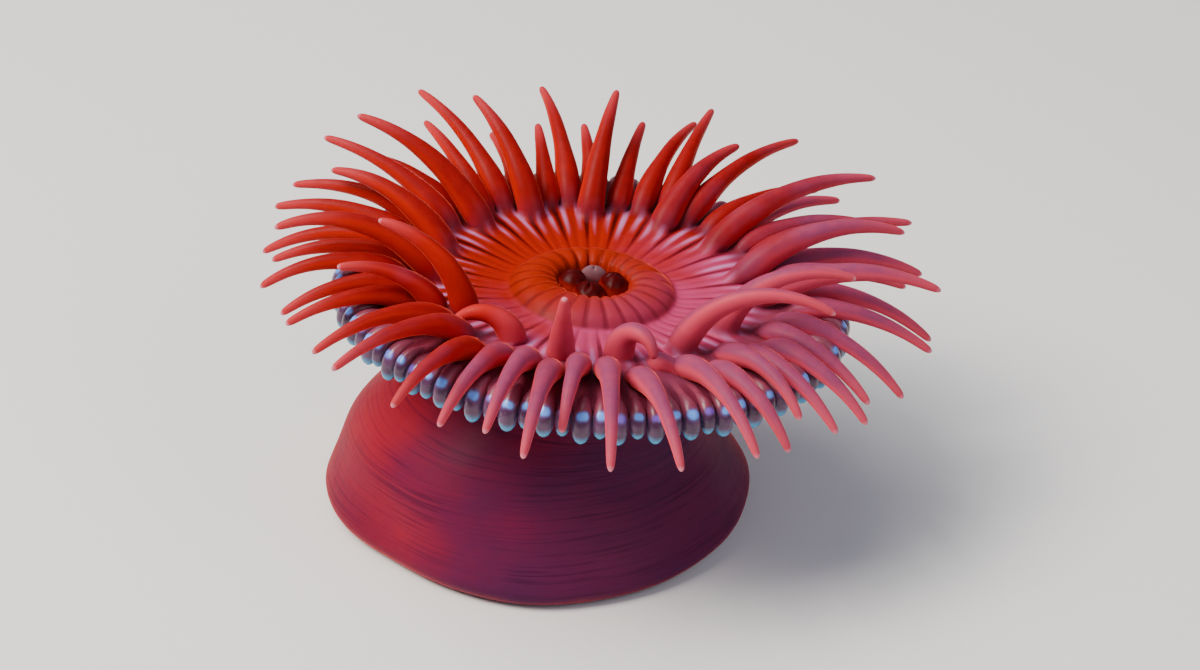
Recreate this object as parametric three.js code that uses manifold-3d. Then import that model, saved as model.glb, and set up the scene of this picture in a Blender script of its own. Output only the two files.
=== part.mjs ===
// Beadlet anemone, open, as a still life-size model.
//
// Millimetres, +Z up, +X to the animal's right. The origin is the middle of the flat underside of the
// pedal disc. The column leans towards +X and carries the crown, whose pieces are built in a frame of
// their own: its origin is the middle of the crown, and its +Z is the crown's own axis.
// An azimuth is measured in that frame, in degrees, anticlockwise from +X, so that -90 is the front.

import * as THREE from 'three';
import { mergeVertices } from 'three/addons/utils/BufferGeometryUtils.js';
import Module from 'manifold-3d';

const wasm = await Module();
wasm.setup();

// ---------------------------------------------------------------- driving dimensions

const GAP = 0.3; // between neighbouring pieces
const WELD = 1e-4; // vertices closer than this are one
const SLIVER = 0.025; // edges that a cut leaves shorter than this are closed up

const CROWN_HEIGHT = 21.8; // of the crown's origin over the floor
const CROWN_SHIFT = 5.4; // of the crown's origin towards +X
const CROWN_TILT = 5; // degrees, its axis towards +X
const LEAN_FROM = 8; // height at which the column starts to lean
const LEAN_TO = 18; // height from which it follows the crown's axis

const FOOT_FLAT_RADIUS = 19.2; // the flat that rests on the floor
const LIMB_RADIUS = 20.9; // the widest edge of the pedal disc
const WAIST_RADIUS = 13.3;
const SHOULDER_RADIUS = 17.7; // where the column meets the underside of the crown
const SHOULDER_HEIGHT = 19.9;
const BODY_CUTS = [0, 3, 8, 13, SHOULDER_HEIGHT]; // the pedal disc, then three lengths of column
const HOLLOW = { azimuth: -131, depth: 2, spread: 32, height: 13 }; // where the foot is drawn in
const SWELL = { azimuth: 176, depth: 1.7, spread: 58, height: 10.5, rise: 4.6 }; // where it is fuller
const BODY_SIDES = 20;

const DISC_RADIUS = 13.6; // the smooth oral disc, free of tentacles
const LIPS_RADIUS = 7.8;
const MOUTH_RADIUS = 3.6;
const PLEATS = 15;

const MARGIN_INNER = DISC_RADIUS + GAP;
const MARGIN_RADIUS = 23.3;
const SECTORS = 15;
const INNER_ROOT_RADIUS = 14; // from the crown's axis
const OUTER_ROOT_RADII = [16.9, 15.7, 15.7]; // the first stands in front of an inner tentacle
const OUTER_PER_SECTOR = OUTER_ROOT_RADII.length;
const FIRST_AZIMUTH = -102; // of the first inner tentacle
const SECTOR_ANGLE = 360 / SECTORS;
const OUTER_SPACING = SECTOR_ANGLE / OUTER_PER_SECTOR;

const INNER_THICKNESS = 2.8; // diameter at the root
const OUTER_THICKNESS = 2.15;
const TIP_THICKNESS = 0.7;
const INNER_BELLY = 0.04; // how much a tentacle swells above its root, as a share of its thickness
const OUTER_BELLY = 0.24;
const LIMB_SIDES = 5;
const OUTER_RINGS = 5;
const INNER_RINGS = 4; // in its lower length, and in the upper one where it is hooked
const HOOKED = 150; // degrees of bend from which a tentacle is hooked

const COLLAR_PIECES = 6;
const BEADS = 90;

const FLESH = { red: 0xb8382c, crimson: 0x9c2736, mauve: 0xa8505c, dark: 0x5a1018 };

// ---------------------------------------------------------------- postures

// An inner tentacle leaves the disc at the elevation 'rise' and loses 'bend' degrees by its tip.
// 'swing' turns its heading away from straight outwards at the root, and 'twist' adds to that by the
// tip, both anticlockwise seen from above. One line for each, anticlockwise from the front.
const INNER_POSTURES = [
  { rise: 66, bend: -6, swing: 8, twist: 0, length: 9 },
  { rise: 98, bend: 190, swing: 32, twist: 0, length: 8.6, ease: 1.7, aside: -2, thickness: 3 },
  { rise: 85, bend: 112, swing: 44, twist: 0, length: 18.3, ease: 0.95, aside: -2, thickness: 3.1 },
  { rise: 88, bend: 104, swing: 28, twist: 0, length: 16, ease: 0.9, aside: -1, thickness: 3 },
  { rise: 45, bend: 66, swing: 4, twist: -4, length: 20.5, reach: 13.8 },
  { rise: 49, bend: 69, swing: 2, twist: -8, length: 19.3, aside: -5, reach: 13.5 },
  { rise: 43, bend: 52, swing: -8, twist: -16, length: 20.8, aside: -2.5, reach: 13.6 },
  { rise: 51, bend: 51, swing: -8, twist: -14, length: 14.6, aside: -3, reach: 13.6 },
  { rise: 62, bend: 38, swing: -8, twist: -6, length: 15, aside: 2 },
  { rise: 60, bend: 46, swing: 7, twist: 10, length: 15.5 },
  { rise: 54, bend: 50, swing: 8, twist: 16, length: 18.4, aside: -2 },
  { rise: 55, bend: 66, swing: -8, twist: 4, length: 15.8 },
  { rise: 60, bend: 90, swing: -6, twist: 0, length: 19 },
  { rise: 84, bend: 80, swing: -36, twist: -6, length: 14, aside: 4 },
  { rise: 94, bend: 152, swing: -58, twist: 0, length: 8.3, ease: 1.05, aside: 5, thickness: 2.8 },
];

// The outer tentacles change posture smoothly round the crown. These stations are 45 degrees apart,
// the first at azimuth 0.
const OUTER_STATIONS = [
  { rise: 44, bend: 60, swing: -2, twist: -6, length: 17.5 },
  { rise: 46, bend: 54, swing: -6, twist: -8, length: 16.5 },
  { rise: 62, bend: 56, swing: 0, twist: 0, length: 15.5 },
  { rise: 54, bend: 54, swing: 6, twist: 8, length: 16.5 },
  { rise: 52, bend: 78, swing: 0, twist: 0, length: 16.5 },
  { rise: 56, bend: 88, swing: -4, twist: -4, length: 16 },
  { rise: 58, bend: 104, swing: 0, twist: 0, length: 15 },
  { rise: 50, bend: 92, swing: 2, twist: 2, length: 16.5 },
];

// What single outer tentacles hold instead of what the stations give them, by number.
const OUTER_EXCEPTIONS = {
  0: { swing: 3, length: 16.6 },
  1: { rise: 56, bend: 126, swing: -3, twist: -3, length: 13, ease: 1.2 },
  2: { swing: -2, twist: 0, length: 18.2 },
  3: { swing: 4, twist: 2, length: 16.5 },
  4: { rise: 88, bend: 160, swing: 34, twist: 10, length: 6.2, reach: 15 },
  5: { length: 17 },
  6: { length: 14 },
  7: { rise: 56, bend: 96, swing: 6, twist: -20, length: 13.5 },
  8: { rise: 40, bend: 78, swing: -7, twist: -4, length: 15.5 },
  9: { rise: 40, bend: 82, swing: -10, length: 15 },
  10: { rise: 43, bend: 80, swing: -18, length: 15.5 },
  11: { rise: 38, bend: 82, swing: -10, length: 17 },
  12: { rise: 37, bend: 69, swing: -2, length: 16.5 },
  13: { rise: 39, bend: 80, length: 18.5 },
  14: { length: 15.5 },
  15: { rise: 43, bend: 70, length: 17.3 },
  16: { rise: 41, bend: 50, length: 19 },
  18: { rise: 47, bend: 60, length: 14.7 },
  19: { rise: 40, bend: 54, swing: -9, length: 16.4 },
  20: { bend: 60, swing: -9, length: 19 },
  21: { swing: 4, twist: 2, length: 16.8 },
  22: { swing: -3, twist: -8, length: 16.2 },
  23: { swing: -5, length: 12.6 },
  24: { swing: 9, length: 10.8 },
  25: { swing: 3, twist: 5, length: 17.9 },
  26: { swing: -2, twist: -7, length: 11.6 },
  27: { swing: -5, length: 11.6 },
  28: { length: 18.3 },
  29: { swing: -3, twist: -4, length: 14.5 },
  30: { length: 13.8 },
  31: { length: 17.6 },
  32: { bend: 72, length: 17.6 },
  33: { length: 16.5 },
  34: { rise: 49, bend: 88, length: 17.8 },
  36: { bend: 97, length: 16 },
  37: { rise: 50, bend: 91, length: 15.4 },
  38: { rise: 48, bend: 82 },
  39: { rise: 84, bend: 92, swing: -20, twist: 0, length: 12.4, reach: 16, aside: -2 },
  40: { rise: 60, bend: 95, swing: -5, length: 16.6 },
  41: { bend: 91, length: 17.4 },
  42: { rise: 56, bend: 94, swing: 0, twist: 0, length: 14.4 },
  43: { bend: 99, swing: 0, twist: 0, length: 14.3 },
  44: { bend: 99, swing: 3, twist: 0, length: 15.2 },
};

const UNEVENNESS = { rise: 4, bend: 6, swing: 2, length: 0.9 }; // the most that a neighbour differs by

// ---------------------------------------------------------------- helpers

const radians = THREE.MathUtils.degToRad;
const golden = (Math.sqrt(5) - 1) / 2;

/** A steady number from -1 to 1 that looks random from one index to the next. */
function uneven(index, kind) {
  return (((index + 1) * golden + kind * golden * golden * 1.7) % 1) * 2 - 1;
}

/** The geometry with near vertices merged, and with no triangle that has lost its area. */
function welded(geometry, within = WELD) {
  geometry.deleteAttribute('normal');
  geometry.deleteAttribute('uv');
  const merged = mergeVertices(geometry, within);
  const kept = [];
  const index = merged.index.array;
  for (let i = 0; i < index.length; i += 3) {
    const [a, b, c] = [index[i], index[i + 1], index[i + 2]];
    if (a !== b && b !== c && c !== a) kept.push(a, b, c);
  }
  merged.setIndex(kept);
  return merged;
}

/** The geometry with each vertex moved by move(point), which changes the point it is given. */
function reshaped(geometry, move) {
  const position = geometry.attributes.position;
  const point = new THREE.Vector3();
  for (let i = 0; i < position.count; i += 1) {
    move(point.fromBufferAttribute(position, i));
    position.setXYZ(i, point.x, point.y, point.z);
  }
  return geometry;
}

/** A solid of revolution about +Z, from [radius, height] pairs that run from its lowest to its highest. */
function turned(profile, sides = BODY_SIDES) {
  const points = profile.map(([radius, height]) => new THREE.Vector2(radius, height));
  return welded(new THREE.LatheGeometry(points, sides).rotateX(Math.PI / 2));
}

function solidOf(geometry) {
  const vertProperties = new Float32Array(geometry.attributes.position.array);
  const triVerts = new Uint32Array(geometry.index.array);
  return new wasm.Manifold(new wasm.Mesh({ numProp: 3, vertProperties, triVerts }));
}

/** The largest body of a solid that was cut, as a geometry. */
function geometryOf(solid) {
  const bodies = solid.decompose().sort((one, other) => other.volume() - one.volume());
  const mesh = bodies[0].getMesh();
  const geometry = new THREE.BufferGeometry();
  geometry.setAttribute('position', new THREE.BufferAttribute(new Float32Array(mesh.vertProperties), 3));
  geometry.setIndex(new THREE.BufferAttribute(new Uint32Array(mesh.triVerts), 1));
  return welded(geometry, SLIVER);
}

function named(name, geometry, color) {
  const material = new THREE.MeshStandardMaterial({ color, roughness: 0.3, metalness: 0 });
  const mesh = new THREE.Mesh(geometry, material);
  mesh.name = name;
  return mesh;
}

/** A wedge about +Z with a half gap off each side, tall enough to cut any crown piece. */
function wedge(azimuth, angle) {
  const reach = 40;
  const depth = 20;
  const middle = radians(azimuth);
  const half = radians(angle / 2);
  const inset = GAP / 2 / Math.sin(half); // steps both sides in by half a gap
  const ray = (turn, length) => new THREE.Vector2(Math.cos(middle + turn), Math.sin(middle + turn))
    .multiplyScalar(length);
  const start = ray(0, inset);
  const shape = new THREE.Shape([start, ray(-half, reach).add(start), ray(half, reach).add(start)]);
  const block = new THREE.ExtrudeGeometry(shape, { depth, bevelEnabled: false });
  return solidOf(welded(block.translate(0, 0, -depth / 2)));
}

// ---------------------------------------------------------------- column and foot

/** A bell over the azimuths beside a feature's own: 1 on it, and falling to nothing past its spread. */
function bell(point, feature) {
  const turn = THREE.MathUtils.radToDeg(Math.atan2(point.y, point.x)) - feature.azimuth;
  const around = THREE.MathUtils.euclideanModulo(turn + 180, 360) - 180;
  return Math.exp(-((around / feature.spread) ** 2));
}

/** Draws a point of the foot or the column in over the hollow, and out over the swell. */
function rounded(point) {
  const low = 1 - THREE.MathUtils.smoothstep(point.z, 0, HOLLOW.height);
  const middle = Math.exp(-(((point.z - SWELL.height) / SWELL.rise) ** 2));
  const inwards = HOLLOW.depth * bell(point, HOLLOW) * low;
  const outwards = SWELL.depth * bell(point, SWELL) * middle;
  const scale = 1 + (outwards - inwards) / LIMB_RADIUS;
  point.x *= scale;
  point.y *= scale;
}

/** Bends a point of the upright body over, so that its top meets the tilted crown. */
function leaned(point) {
  rounded(point);
  const share = THREE.MathUtils.smoothstep(point.z, LEAN_FROM, LEAN_TO);
  const tilt = radians(CROWN_TILT) * share;
  const below = CROWN_HEIGHT - point.z; // under the crown's middle
  const across = point.x;
  point.x = CROWN_SHIFT * share - below * Math.sin(tilt) + across * Math.cos(tilt);
  point.z = CROWN_HEIGHT - below * Math.cos(tilt) - across * Math.sin(tilt);
}

/** The body's outline from the floor to the underside of the crown, as [height, radius] pairs. */
const BODY_OUTLINE = [
  [0, FOOT_FLAT_RADIUS],
  [0.9, 20.6],
  [2, LIMB_RADIUS],
  [3.2, 20.3],
  [5, 19.3],
  [7.5, 17.9],
  [10, 16.4],
  [12.5, 15],
  [15, 13.7],
  [16.6, WAIST_RADIUS],
  [17.6, 14.2],
  [18.4, 16.2],
  [18.8, SHOULDER_RADIUS],
  [SHOULDER_HEIGHT, SHOULDER_RADIUS],
];

function radiusAt(height) {
  const above = BODY_OUTLINE.findIndex(([mark]) => mark >= height);
  const [highMark, highRadius] = BODY_OUTLINE[above];
  const [lowMark, lowRadius] = BODY_OUTLINE[Math.max(above - 1, 0)];
  const share = highMark === lowMark ? 0 : (height - lowMark) / (highMark - lowMark);
  return lowRadius + (highRadius - lowRadius) * share;
}

/** One length of the body between two heights, on the outline's own rings. */
function bodyLength(from, to) {
  const inside = BODY_OUTLINE.filter(([height]) => height > from + GAP && height < to - GAP);
  const heights = [from, ...inside.map(([height]) => height), to];
  const profile = heights.map((height) => [radiusAt(height), height]);
  return reshaped(turned([[0, from], ...profile, [0, to]]), leaned);
}

function body() {
  const group = new THREE.Group();
  ['pedal_disc', 'column_lower', 'column_middle', 'column_upper'].forEach((name, i) => {
    const from = i === 0 ? BODY_CUTS[i] : BODY_CUTS[i] + GAP;
    group.add(named(name, bodyLength(from, BODY_CUTS[i + 1]), FLESH.crimson));
  });
  return group;
}

// ---------------------------------------------------------------- disc, lips and throat

const DISC_STEP = 8.15; // the disc rises here, outside the lips
const DISC_TOP = [[DISC_STEP, 1.3], [10.5, 1.4], [DISC_RADIUS, 1.8]];
const MARGIN_TOP = [[MARGIN_INNER, 1.82], [MARGIN_RADIUS, 1.75]];
const CROWN_FLOOR = -1.6; // the underside of the disc and of the margin's roots
const SEAT = 0.4; // the disc's height under the lips

function disc() {
  const top = [...DISC_TOP].reverse();
  return turned([[0, CROWN_FLOOR], [DISC_RADIUS, CROWN_FLOOR], ...top, [DISC_STEP, SEAT], [0, SEAT]]);
}

/** The cushion round the mouth, with pleats that run outwards over it. */
function lips() {
  const pleatDepth = 0.12;
  const bottom = SEAT + GAP;
  const cushion = [[LIPS_RADIUS, 1.3], [7.2, 2], [5.6, 2.45], [MOUTH_RADIUS, 1.8]];
  const profile = [[MOUTH_RADIUS, bottom], [LIPS_RADIUS, bottom], ...cushion, [MOUTH_RADIUS, bottom]];
  return reshaped(turned(profile, PLEATS * 2), (point) => {
    const ridge = Math.cos(Math.atan2(point.y, point.x) * PLEATS);
    if (point.z > bottom + GAP) point.z += pleatDepth * ridge;
  });
}

/** The folded lobes of the throat that show in the mouth. */
function throat() {
  const radius = MOUTH_RADIUS - GAP;
  const bottom = SEAT + GAP;
  const floor = 0.3; // thickness under the lobes
  const lobes = [{ azimuth: 172, size: 1.55 }, { azimuth: 8, size: 1.55 }, { azimuth: -108, size: 1.3 }];
  const plate = [[0, bottom], [radius, bottom], [radius, bottom + floor], [0, bottom + floor]];
  let solid = solidOf(turned(plate, PLEATS));
  for (const { azimuth, size } of lobes) {
    const lobe = new THREE.SphereGeometry(size, 8, 5).scale(0.95, 0.95, 0.8);
    const reach = radius - size;
    const turn = radians(azimuth);
    lobe.translate(Math.cos(turn) * reach, Math.sin(turn) * reach, bottom + floor);
    solid = solid.add(solidOf(welded(lobe)));
  }
  const under = new THREE.BoxGeometry(20, 20, 4).translate(0, 0, bottom - 2);
  return geometryOf(solid.subtract(solidOf(welded(under))));
}

// ---------------------------------------------------------------- tentacles

/** The direction of a tentacle at a share of its length. */
function direction(pose, share) {
  const elevation = radians(pose.rise - pose.bend * share ** pose.ease);
  const heading = radians(pose.azimuth + pose.swing + pose.twist * share);
  const flat = Math.cos(elevation);
  return new THREE.Vector3(flat * Math.cos(heading), flat * Math.sin(heading), Math.sin(elevation));
}

/** The middle of a tentacle at a share of its length, by summing short steps from its root. */
function middle(pose, share) {
  const steps = 24;
  const point = pose.root.clone();
  for (let i = 0; i < steps; i += 1) {
    const here = (share * (i + 0.5)) / steps;
    point.addScaledVector(direction(pose, here), (pose.length * share) / steps);
  }
  return point;
}

/** The tentacle's radius at a share of its length: a belly above the root, then a slow taper to the tip. */
function radiusOf(pose, share) {
  const tip = TIP_THICKNESS / 2;
  const taper = 1.25;
  const swell = 1 + pose.belly * Math.exp(-(((share - 0.24) / 0.17) ** 2));
  return pose.clearance + tip + ((pose.thickness / 2) * swell - tip) * (1 - share ** taper);
}

/** A turned solid of the taper between two shares, bent along the tentacle. */
function limb(pose, from, to, rings) {
  const tipStart = 0.965; // where the rounded tip begins
  const end = to === 1 ? tipStart : to;
  const shares = Array.from({ length: rings + 1 }, (_, i) => from + ((end - from) * i) / rings);
  const profile = [[0, from], ...shares.map((share) => [radiusOf(pose, share), share])];
  profile.push([0, to]);
  return reshaped(turned(profile, LIMB_SIDES), (point) => {
    const share = Math.max(point.z, 0);
    const ahead = direction(pose, share);
    const heading = radians(pose.azimuth + pose.swing + pose.twist * share);
    const across = new THREE.Vector3(-Math.sin(heading), Math.cos(heading), 0);
    const over = new THREE.Vector3().crossVectors(ahead, across);
    const centre = middle(pose, share);
    centre.addScaledVector(across, point.x).addScaledVector(over, point.y);
    point.copy(centre);
  });
}

/** The root of a tentacle in the crown's frame, a little under the disc's skin. */
function rootAt(azimuth, reach) {
  const depth = 1.1;
  const turn = radians(azimuth);
  return new THREE.Vector3(Math.cos(turn) * reach, Math.sin(turn) * reach, MARGIN_TOP[0][1] - depth);
}

function innerPose(number) {
  const usual = { ease: 1.1, aside: 0, reach: INNER_ROOT_RADIUS, thickness: INNER_THICKNESS };
  const posture = { ...usual, clearance: 0, belly: INNER_BELLY, ...INNER_POSTURES[number] };
  const azimuth = FIRST_AZIMUTH + number * SECTOR_ANGLE;
  return { ...posture, azimuth, root: rootAt(azimuth + posture.aside, posture.reach) };
}

/** The outer posture at an azimuth, blended smoothly between the two stations beside it. */
function blended(azimuth) {
  const stationAngle = 360 / OUTER_STATIONS.length;
  const place = (((azimuth % 360) + 360) % 360) / stationAngle;
  const low = OUTER_STATIONS[Math.floor(place)];
  const high = OUTER_STATIONS[(Math.floor(place) + 1) % OUTER_STATIONS.length];
  const share = THREE.MathUtils.smoothstep(place % 1, 0, 1);
  const posture = {};
  for (const key of Object.keys(low)) posture[key] = low[key] + (high[key] - low[key]) * share;
  return posture;
}

function outerPose(number) {
  const azimuth = FIRST_AZIMUTH + number * OUTER_SPACING;
  const posture = blended(azimuth);
  Object.keys(UNEVENNESS).forEach((key, kind) => {
    posture[key] += UNEVENNESS[key] * uneven(number, kind);
  });
  const reach = OUTER_ROOT_RADII[number % OUTER_PER_SECTOR];
  const usual = { ease: 0.7, aside: 0, clearance: 0, belly: OUTER_BELLY, thickness: OUTER_THICKNESS };
  const whole = { ...usual, reach, ...posture, ...OUTER_EXCEPTIONS[number] };
  return { ...whole, azimuth, root: rootAt(azimuth + whole.aside, whole.reach) };
}

/** The whole crown up to a gap above its upper surface, to trim what stands on it. */
function crownCore() {
  const depth = -4;
  const raised = [...DISC_TOP.slice(0, 2), ...MARGIN_TOP].map(([radius, height]) => [radius, height + GAP]);
  const profile = [[0, depth], [MARGIN_RADIUS, depth], ...raised.reverse(), [0, raised.at(-1)[1]]];
  return solidOf(turned(profile, SECTORS * OUTER_PER_SECTOR));
}

/** Each outer tentacle outside a core, with a gap round it, for cutting others clear of it. */
function outerSleeves(core) {
  return Array.from({ length: SECTORS * OUTER_PER_SECTOR }, (_, number) => {
    const pose = { ...outerPose(number), clearance: GAP };
    return solidOf(limb(pose, 0, 1, OUTER_RINGS)).subtract(core);
  });
}

function clearOf(solid, sleeves) {
  return sleeves.reduce((rest, sleeve) => rest.subtract(sleeve), solid);
}

function innerTentacles(core, sleeves) {
  const group = new THREE.Group();
  const split = 0.5;
  for (let number = 0; number < SECTORS; number += 1) {
    const pose = innerPose(number);
    const label = String(number + 1).padStart(2, '0');
    const base = solidOf(limb(pose, 0, split, INNER_RINGS)).subtract(core);
    const tipRings = pose.bend < HOOKED ? INNER_RINGS - 1 : INNER_RINGS;
    const tip = solidOf(limb(pose, split + GAP / pose.length, 1, tipRings));
    group.add(named(`tentacle_${label}_base`, geometryOf(clearOf(base, sleeves)), FLESH.red));
    group.add(named(`tentacle_${label}_tip`, geometryOf(clearOf(tip, sleeves)), FLESH.red));
  }
  return group;
}

/** The outer edge of the disc in sectors, each with the outer tentacles that grow from it. */
function margin(core, sleeves) {
  const underside = [[SHOULDER_RADIUS, 0.9], [MARGIN_RADIUS, 1]];
  const roots = [[MARGIN_INNER, CROWN_FLOOR], [SHOULDER_RADIUS, CROWN_FLOOR]];
  const profile = [...roots, ...underside, ...[...MARGIN_TOP].reverse(), roots[0]];
  const ring = solidOf(turned(profile, SECTORS * OUTER_PER_SECTOR));
  const group = new THREE.Group();
  for (let sector = 0; sector < SECTORS; sector += 1) {
    const first = sector * OUTER_PER_SECTOR;
    const azimuth = FIRST_AZIMUTH + (first + 1) * OUTER_SPACING;
    const piece = wedge(azimuth, SECTOR_ANGLE);
    const elsewhere = core.subtract(piece);
    let solid = ring.intersect(piece);
    for (let number = first; number < first + OUTER_PER_SECTOR; number += 1) {
      const tentacle = solidOf(limb(outerPose(number), 0, 1, OUTER_RINGS));
      solid = solid.add(tentacle.subtract(elsewhere));
    }
    const next = (first + OUTER_PER_SECTOR) % sleeves.length;
    const label = String(sector + 1).padStart(2, '0');
    const clear = clearOf(solid, sleeves.slice(next, next + OUTER_PER_SECTOR));
    group.add(named(`margin_${label}`, geometryOf(clear), FLESH.red));
  }
  return group;
}

// ---------------------------------------------------------------- collar and beads

/** The share of a bead at an azimuth: 1 on a bead, 0 between two, and less on every second bead. */
function beading(azimuth) {
  const place = ((azimuth - radians(FIRST_AZIMUTH)) / (2 * Math.PI)) * BEADS;
  const small = 0.8;
  const ridge = (1 - Math.cos(place * 2 * Math.PI)) / 2;
  return Math.floor(place) % 2 === 0 ? ridge : ridge * small;
}

/** The collar that holds the crown, in pieces, with the beads that hang from its edge. */
function collar(sleeves) {
  const inner = SHOULDER_RADIUS + GAP;
  const hem = { bottom: [23.2, -0.05], outside: [23.9, 0.65] }; // between two beads
  const drop = { bottom: [23.9, -1.35], outside: [24.8, 0.2] }; // on a bead
  const profile = [[inner, -2.7], hem.bottom, hem.outside, [inner, 0.15], [inner, -2.7]];
  const shaped = reshaped(turned(profile, BEADS * 2), (point) => {
    const reach = Math.hypot(point.x, point.y);
    const azimuth = Math.atan2(point.y, point.x);
    for (const key of Object.keys(hem)) {
      const [radius, height] = hem[key];
      if (Math.abs(reach - radius) + Math.abs(point.z - height) > WELD) continue;
      const share = beading(azimuth);
      const scale = (radius + (drop[key][0] - radius) * share) / reach;
      point.set(point.x * scale, point.y * scale, height + (drop[key][1] - height) * share);
      break;
    }
  });
  const ring = clearOf(solidOf(shaped), sleeves);
  const angle = 360 / COLLAR_PIECES;
  const group = new THREE.Group();
  for (let piece = 0; piece < COLLAR_PIECES; piece += 1) {
    const azimuth = FIRST_AZIMUTH + (piece + 0.5) * angle;
    const solid = ring.intersect(wedge(azimuth, angle));
    group.add(named(`collar_${piece + 1}`, geometryOf(solid), FLESH.mauve));
  }
  return group;
}

// ---------------------------------------------------------------- the animal

const crown = new THREE.Group();
crown.position.set(CROWN_SHIFT, 0, CROWN_HEIGHT);
crown.rotation.y = radians(CROWN_TILT);
const core = crownCore();
const rootZone = solidOf(turned([[0, -5], [20, -5], [20, 5], [0, 5]])); // within the collar's outer part
const sleeves = outerSleeves(core);
const overhangs = outerSleeves(rootZone);
crown.add(named('oral_disc', disc(), FLESH.red));
crown.add(named('lips', lips(), FLESH.red));
crown.add(named('throat', throat(), FLESH.dark));
crown.add(innerTentacles(core, sleeves));
crown.add(margin(core, sleeves));
crown.add(collar(overhangs));

const anemone = new THREE.Group();
anemone.add(body());
anemone.add(crown);

export default anemone;
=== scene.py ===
"""Open beadlet anemone, a still life-size model: one skin, the beads of the collar and the throat.

Sizes are in millimetres until a mesh is put in, and metres from there on. The animal is worked out
upright, with its axis on Z and the floor at height 0, and each finished surface is then leaned over.
A crown height is measured from the middle of the crown, and an azimuth is in degrees, anticlockwise
from +X seen from above, so that -90 is the front.
"""

import logging
import math
from dataclasses import dataclass, field, replace
from enum import Enum
from typing import Any

import bpy
import numpy as np
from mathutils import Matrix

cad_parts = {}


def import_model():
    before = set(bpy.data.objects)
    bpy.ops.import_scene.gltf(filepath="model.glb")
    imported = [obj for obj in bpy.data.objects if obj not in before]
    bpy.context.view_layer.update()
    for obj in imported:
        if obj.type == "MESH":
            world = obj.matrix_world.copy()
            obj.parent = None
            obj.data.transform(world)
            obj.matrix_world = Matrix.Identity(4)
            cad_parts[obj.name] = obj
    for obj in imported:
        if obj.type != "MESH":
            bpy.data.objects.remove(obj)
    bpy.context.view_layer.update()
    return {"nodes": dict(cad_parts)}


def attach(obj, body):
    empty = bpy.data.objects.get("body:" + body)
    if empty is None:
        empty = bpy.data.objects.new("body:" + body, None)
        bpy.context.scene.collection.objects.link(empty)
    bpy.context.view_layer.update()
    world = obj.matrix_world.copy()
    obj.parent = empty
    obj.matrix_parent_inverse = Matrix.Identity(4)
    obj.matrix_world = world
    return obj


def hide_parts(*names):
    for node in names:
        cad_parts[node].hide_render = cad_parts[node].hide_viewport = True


Array = np.ndarray
Colour = tuple[float, float, float, float]
Outline = tuple[tuple[float, float], ...]

LOG = logging.getLogger("anemone")
MM = 0.001
UP = np.array([0.0, 0.0, 1.0])

CROWN_HEIGHT = 21.8
CROWN_TOP = 1.82  # crown height of the skin where the tentacles stand
COLUMNS = 180  # points in each row of the skin, which is one each two degrees
FIRST_AZIMUTH = -102.0  # of each ring of tentacles, and of the skin's columns
SECTORS = 15
OUTER_PER_SECTOR = 3
RIBS = 60  # across the disc
BEADS = 90
FIRST_BEAD_AZIMUTH = -100.0
PLEATS = 24  # of the lips
PLEAT_STRAY = 0.8  # how far the pleats stray from even spacing, in radians of their phase
PLEAT_STRAY_WAVES = 3
PLEAT_STRAY_AZIMUTH = -150.0
GOLDEN = (math.sqrt(5.0) - 1.0) / 2.0
KIND_STEP = 1.7 * GOLDEN * GOLDEN  # sets the uneven numbers of one kind apart from the next kind's


class Slot(Enum):
    """The record's material slot names."""

    TENTACLE = "tentacle_flesh"
    THROAT = "throat_flesh"
    BEAD = "bead_flesh"


# ---------------------------------------------------------------- sums on arrays


def smooth(values: Array | float, low: float, high: float) -> Array:
    """An S-shaped step: 0 up to low, 1 from high on, and 3t² - 2t³ between them.

    Args:
        values: The numbers to step.
        low: Where the step starts. It may be the larger of the two.
        high: Where it ends.

    Returns:
        The stepped numbers, from 0 to 1.
    """
    share = np.clip((np.asarray(values, dtype=float) - low) / (high - low), 0.0, 1.0)
    return share * share * (3.0 - 2.0 * share)


def turned(vector: Array, start: Array, end: Array) -> Array:
    """A vector carried by the smallest rotation that takes start to end, by Rodrigues' formula.

    Args:
        vector: The vector to carry.
        start: A unit vector before the rotation.
        end: The same one after it.

    Returns:
        The rotated vector.
    """
    axis = np.cross(start, end)
    cosine = start @ end
    return vector * cosine + np.cross(axis, vector) + axis * (axis @ vector) / (1.0 + cosine)


def unit(vectors: Array) -> Array:
    """The vectors at length 1."""
    return vectors / np.linalg.norm(vectors, axis=-1, keepdims=True)


def around(sides: int) -> Array:
    """The angles of evenly spaced sides, in radians."""
    return np.arange(sides) * (2.0 * math.pi / sides)


def level_axes(turn: Array | float) -> tuple[Array, Array]:
    """The level unit vectors that point outwards at an azimuth, and sideways a quarter turn on.

    Args:
        turn: One azimuth or several, in radians.

    Returns:
        The outward vectors and the sideways ones, a row to each azimuth.
    """
    cosine, sine, nothing = np.cos(turn), np.sin(turn), np.zeros_like(turn)
    return np.stack([cosine, sine, nothing], axis=-1), np.stack([-sine, cosine, nothing], axis=-1)


def uneven(index: Array, kind: int) -> Array:
    """Steady numbers from -1 to 1 that look random: the fraction of golden steps, spread out."""
    return ((index + 1) * GOLDEN + kind * KIND_STEP) % 1.0 * 2.0 - 1.0


# ---------------------------------------------------------------- postures


@dataclass(frozen=True)
class Posture:
    """How a tentacle holds itself, in degrees and millimetres.

    It leaves the disc at the elevation rise and loses bend by its tip, as share**ease. Its heading
    differs from straight outwards by swing at the root, and by twist more at the tip. Its root is
    at reach from the axis, and aside from its ring's even spacing. It narrows as share**taper.
    """

    rise: float
    bend: float
    swing: float
    twist: float
    length: float
    ease: float = 0.7
    aside: float = 0.0
    reach: float = 15.7
    thickness: float = 2.15
    taper: float = 1.25


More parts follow.
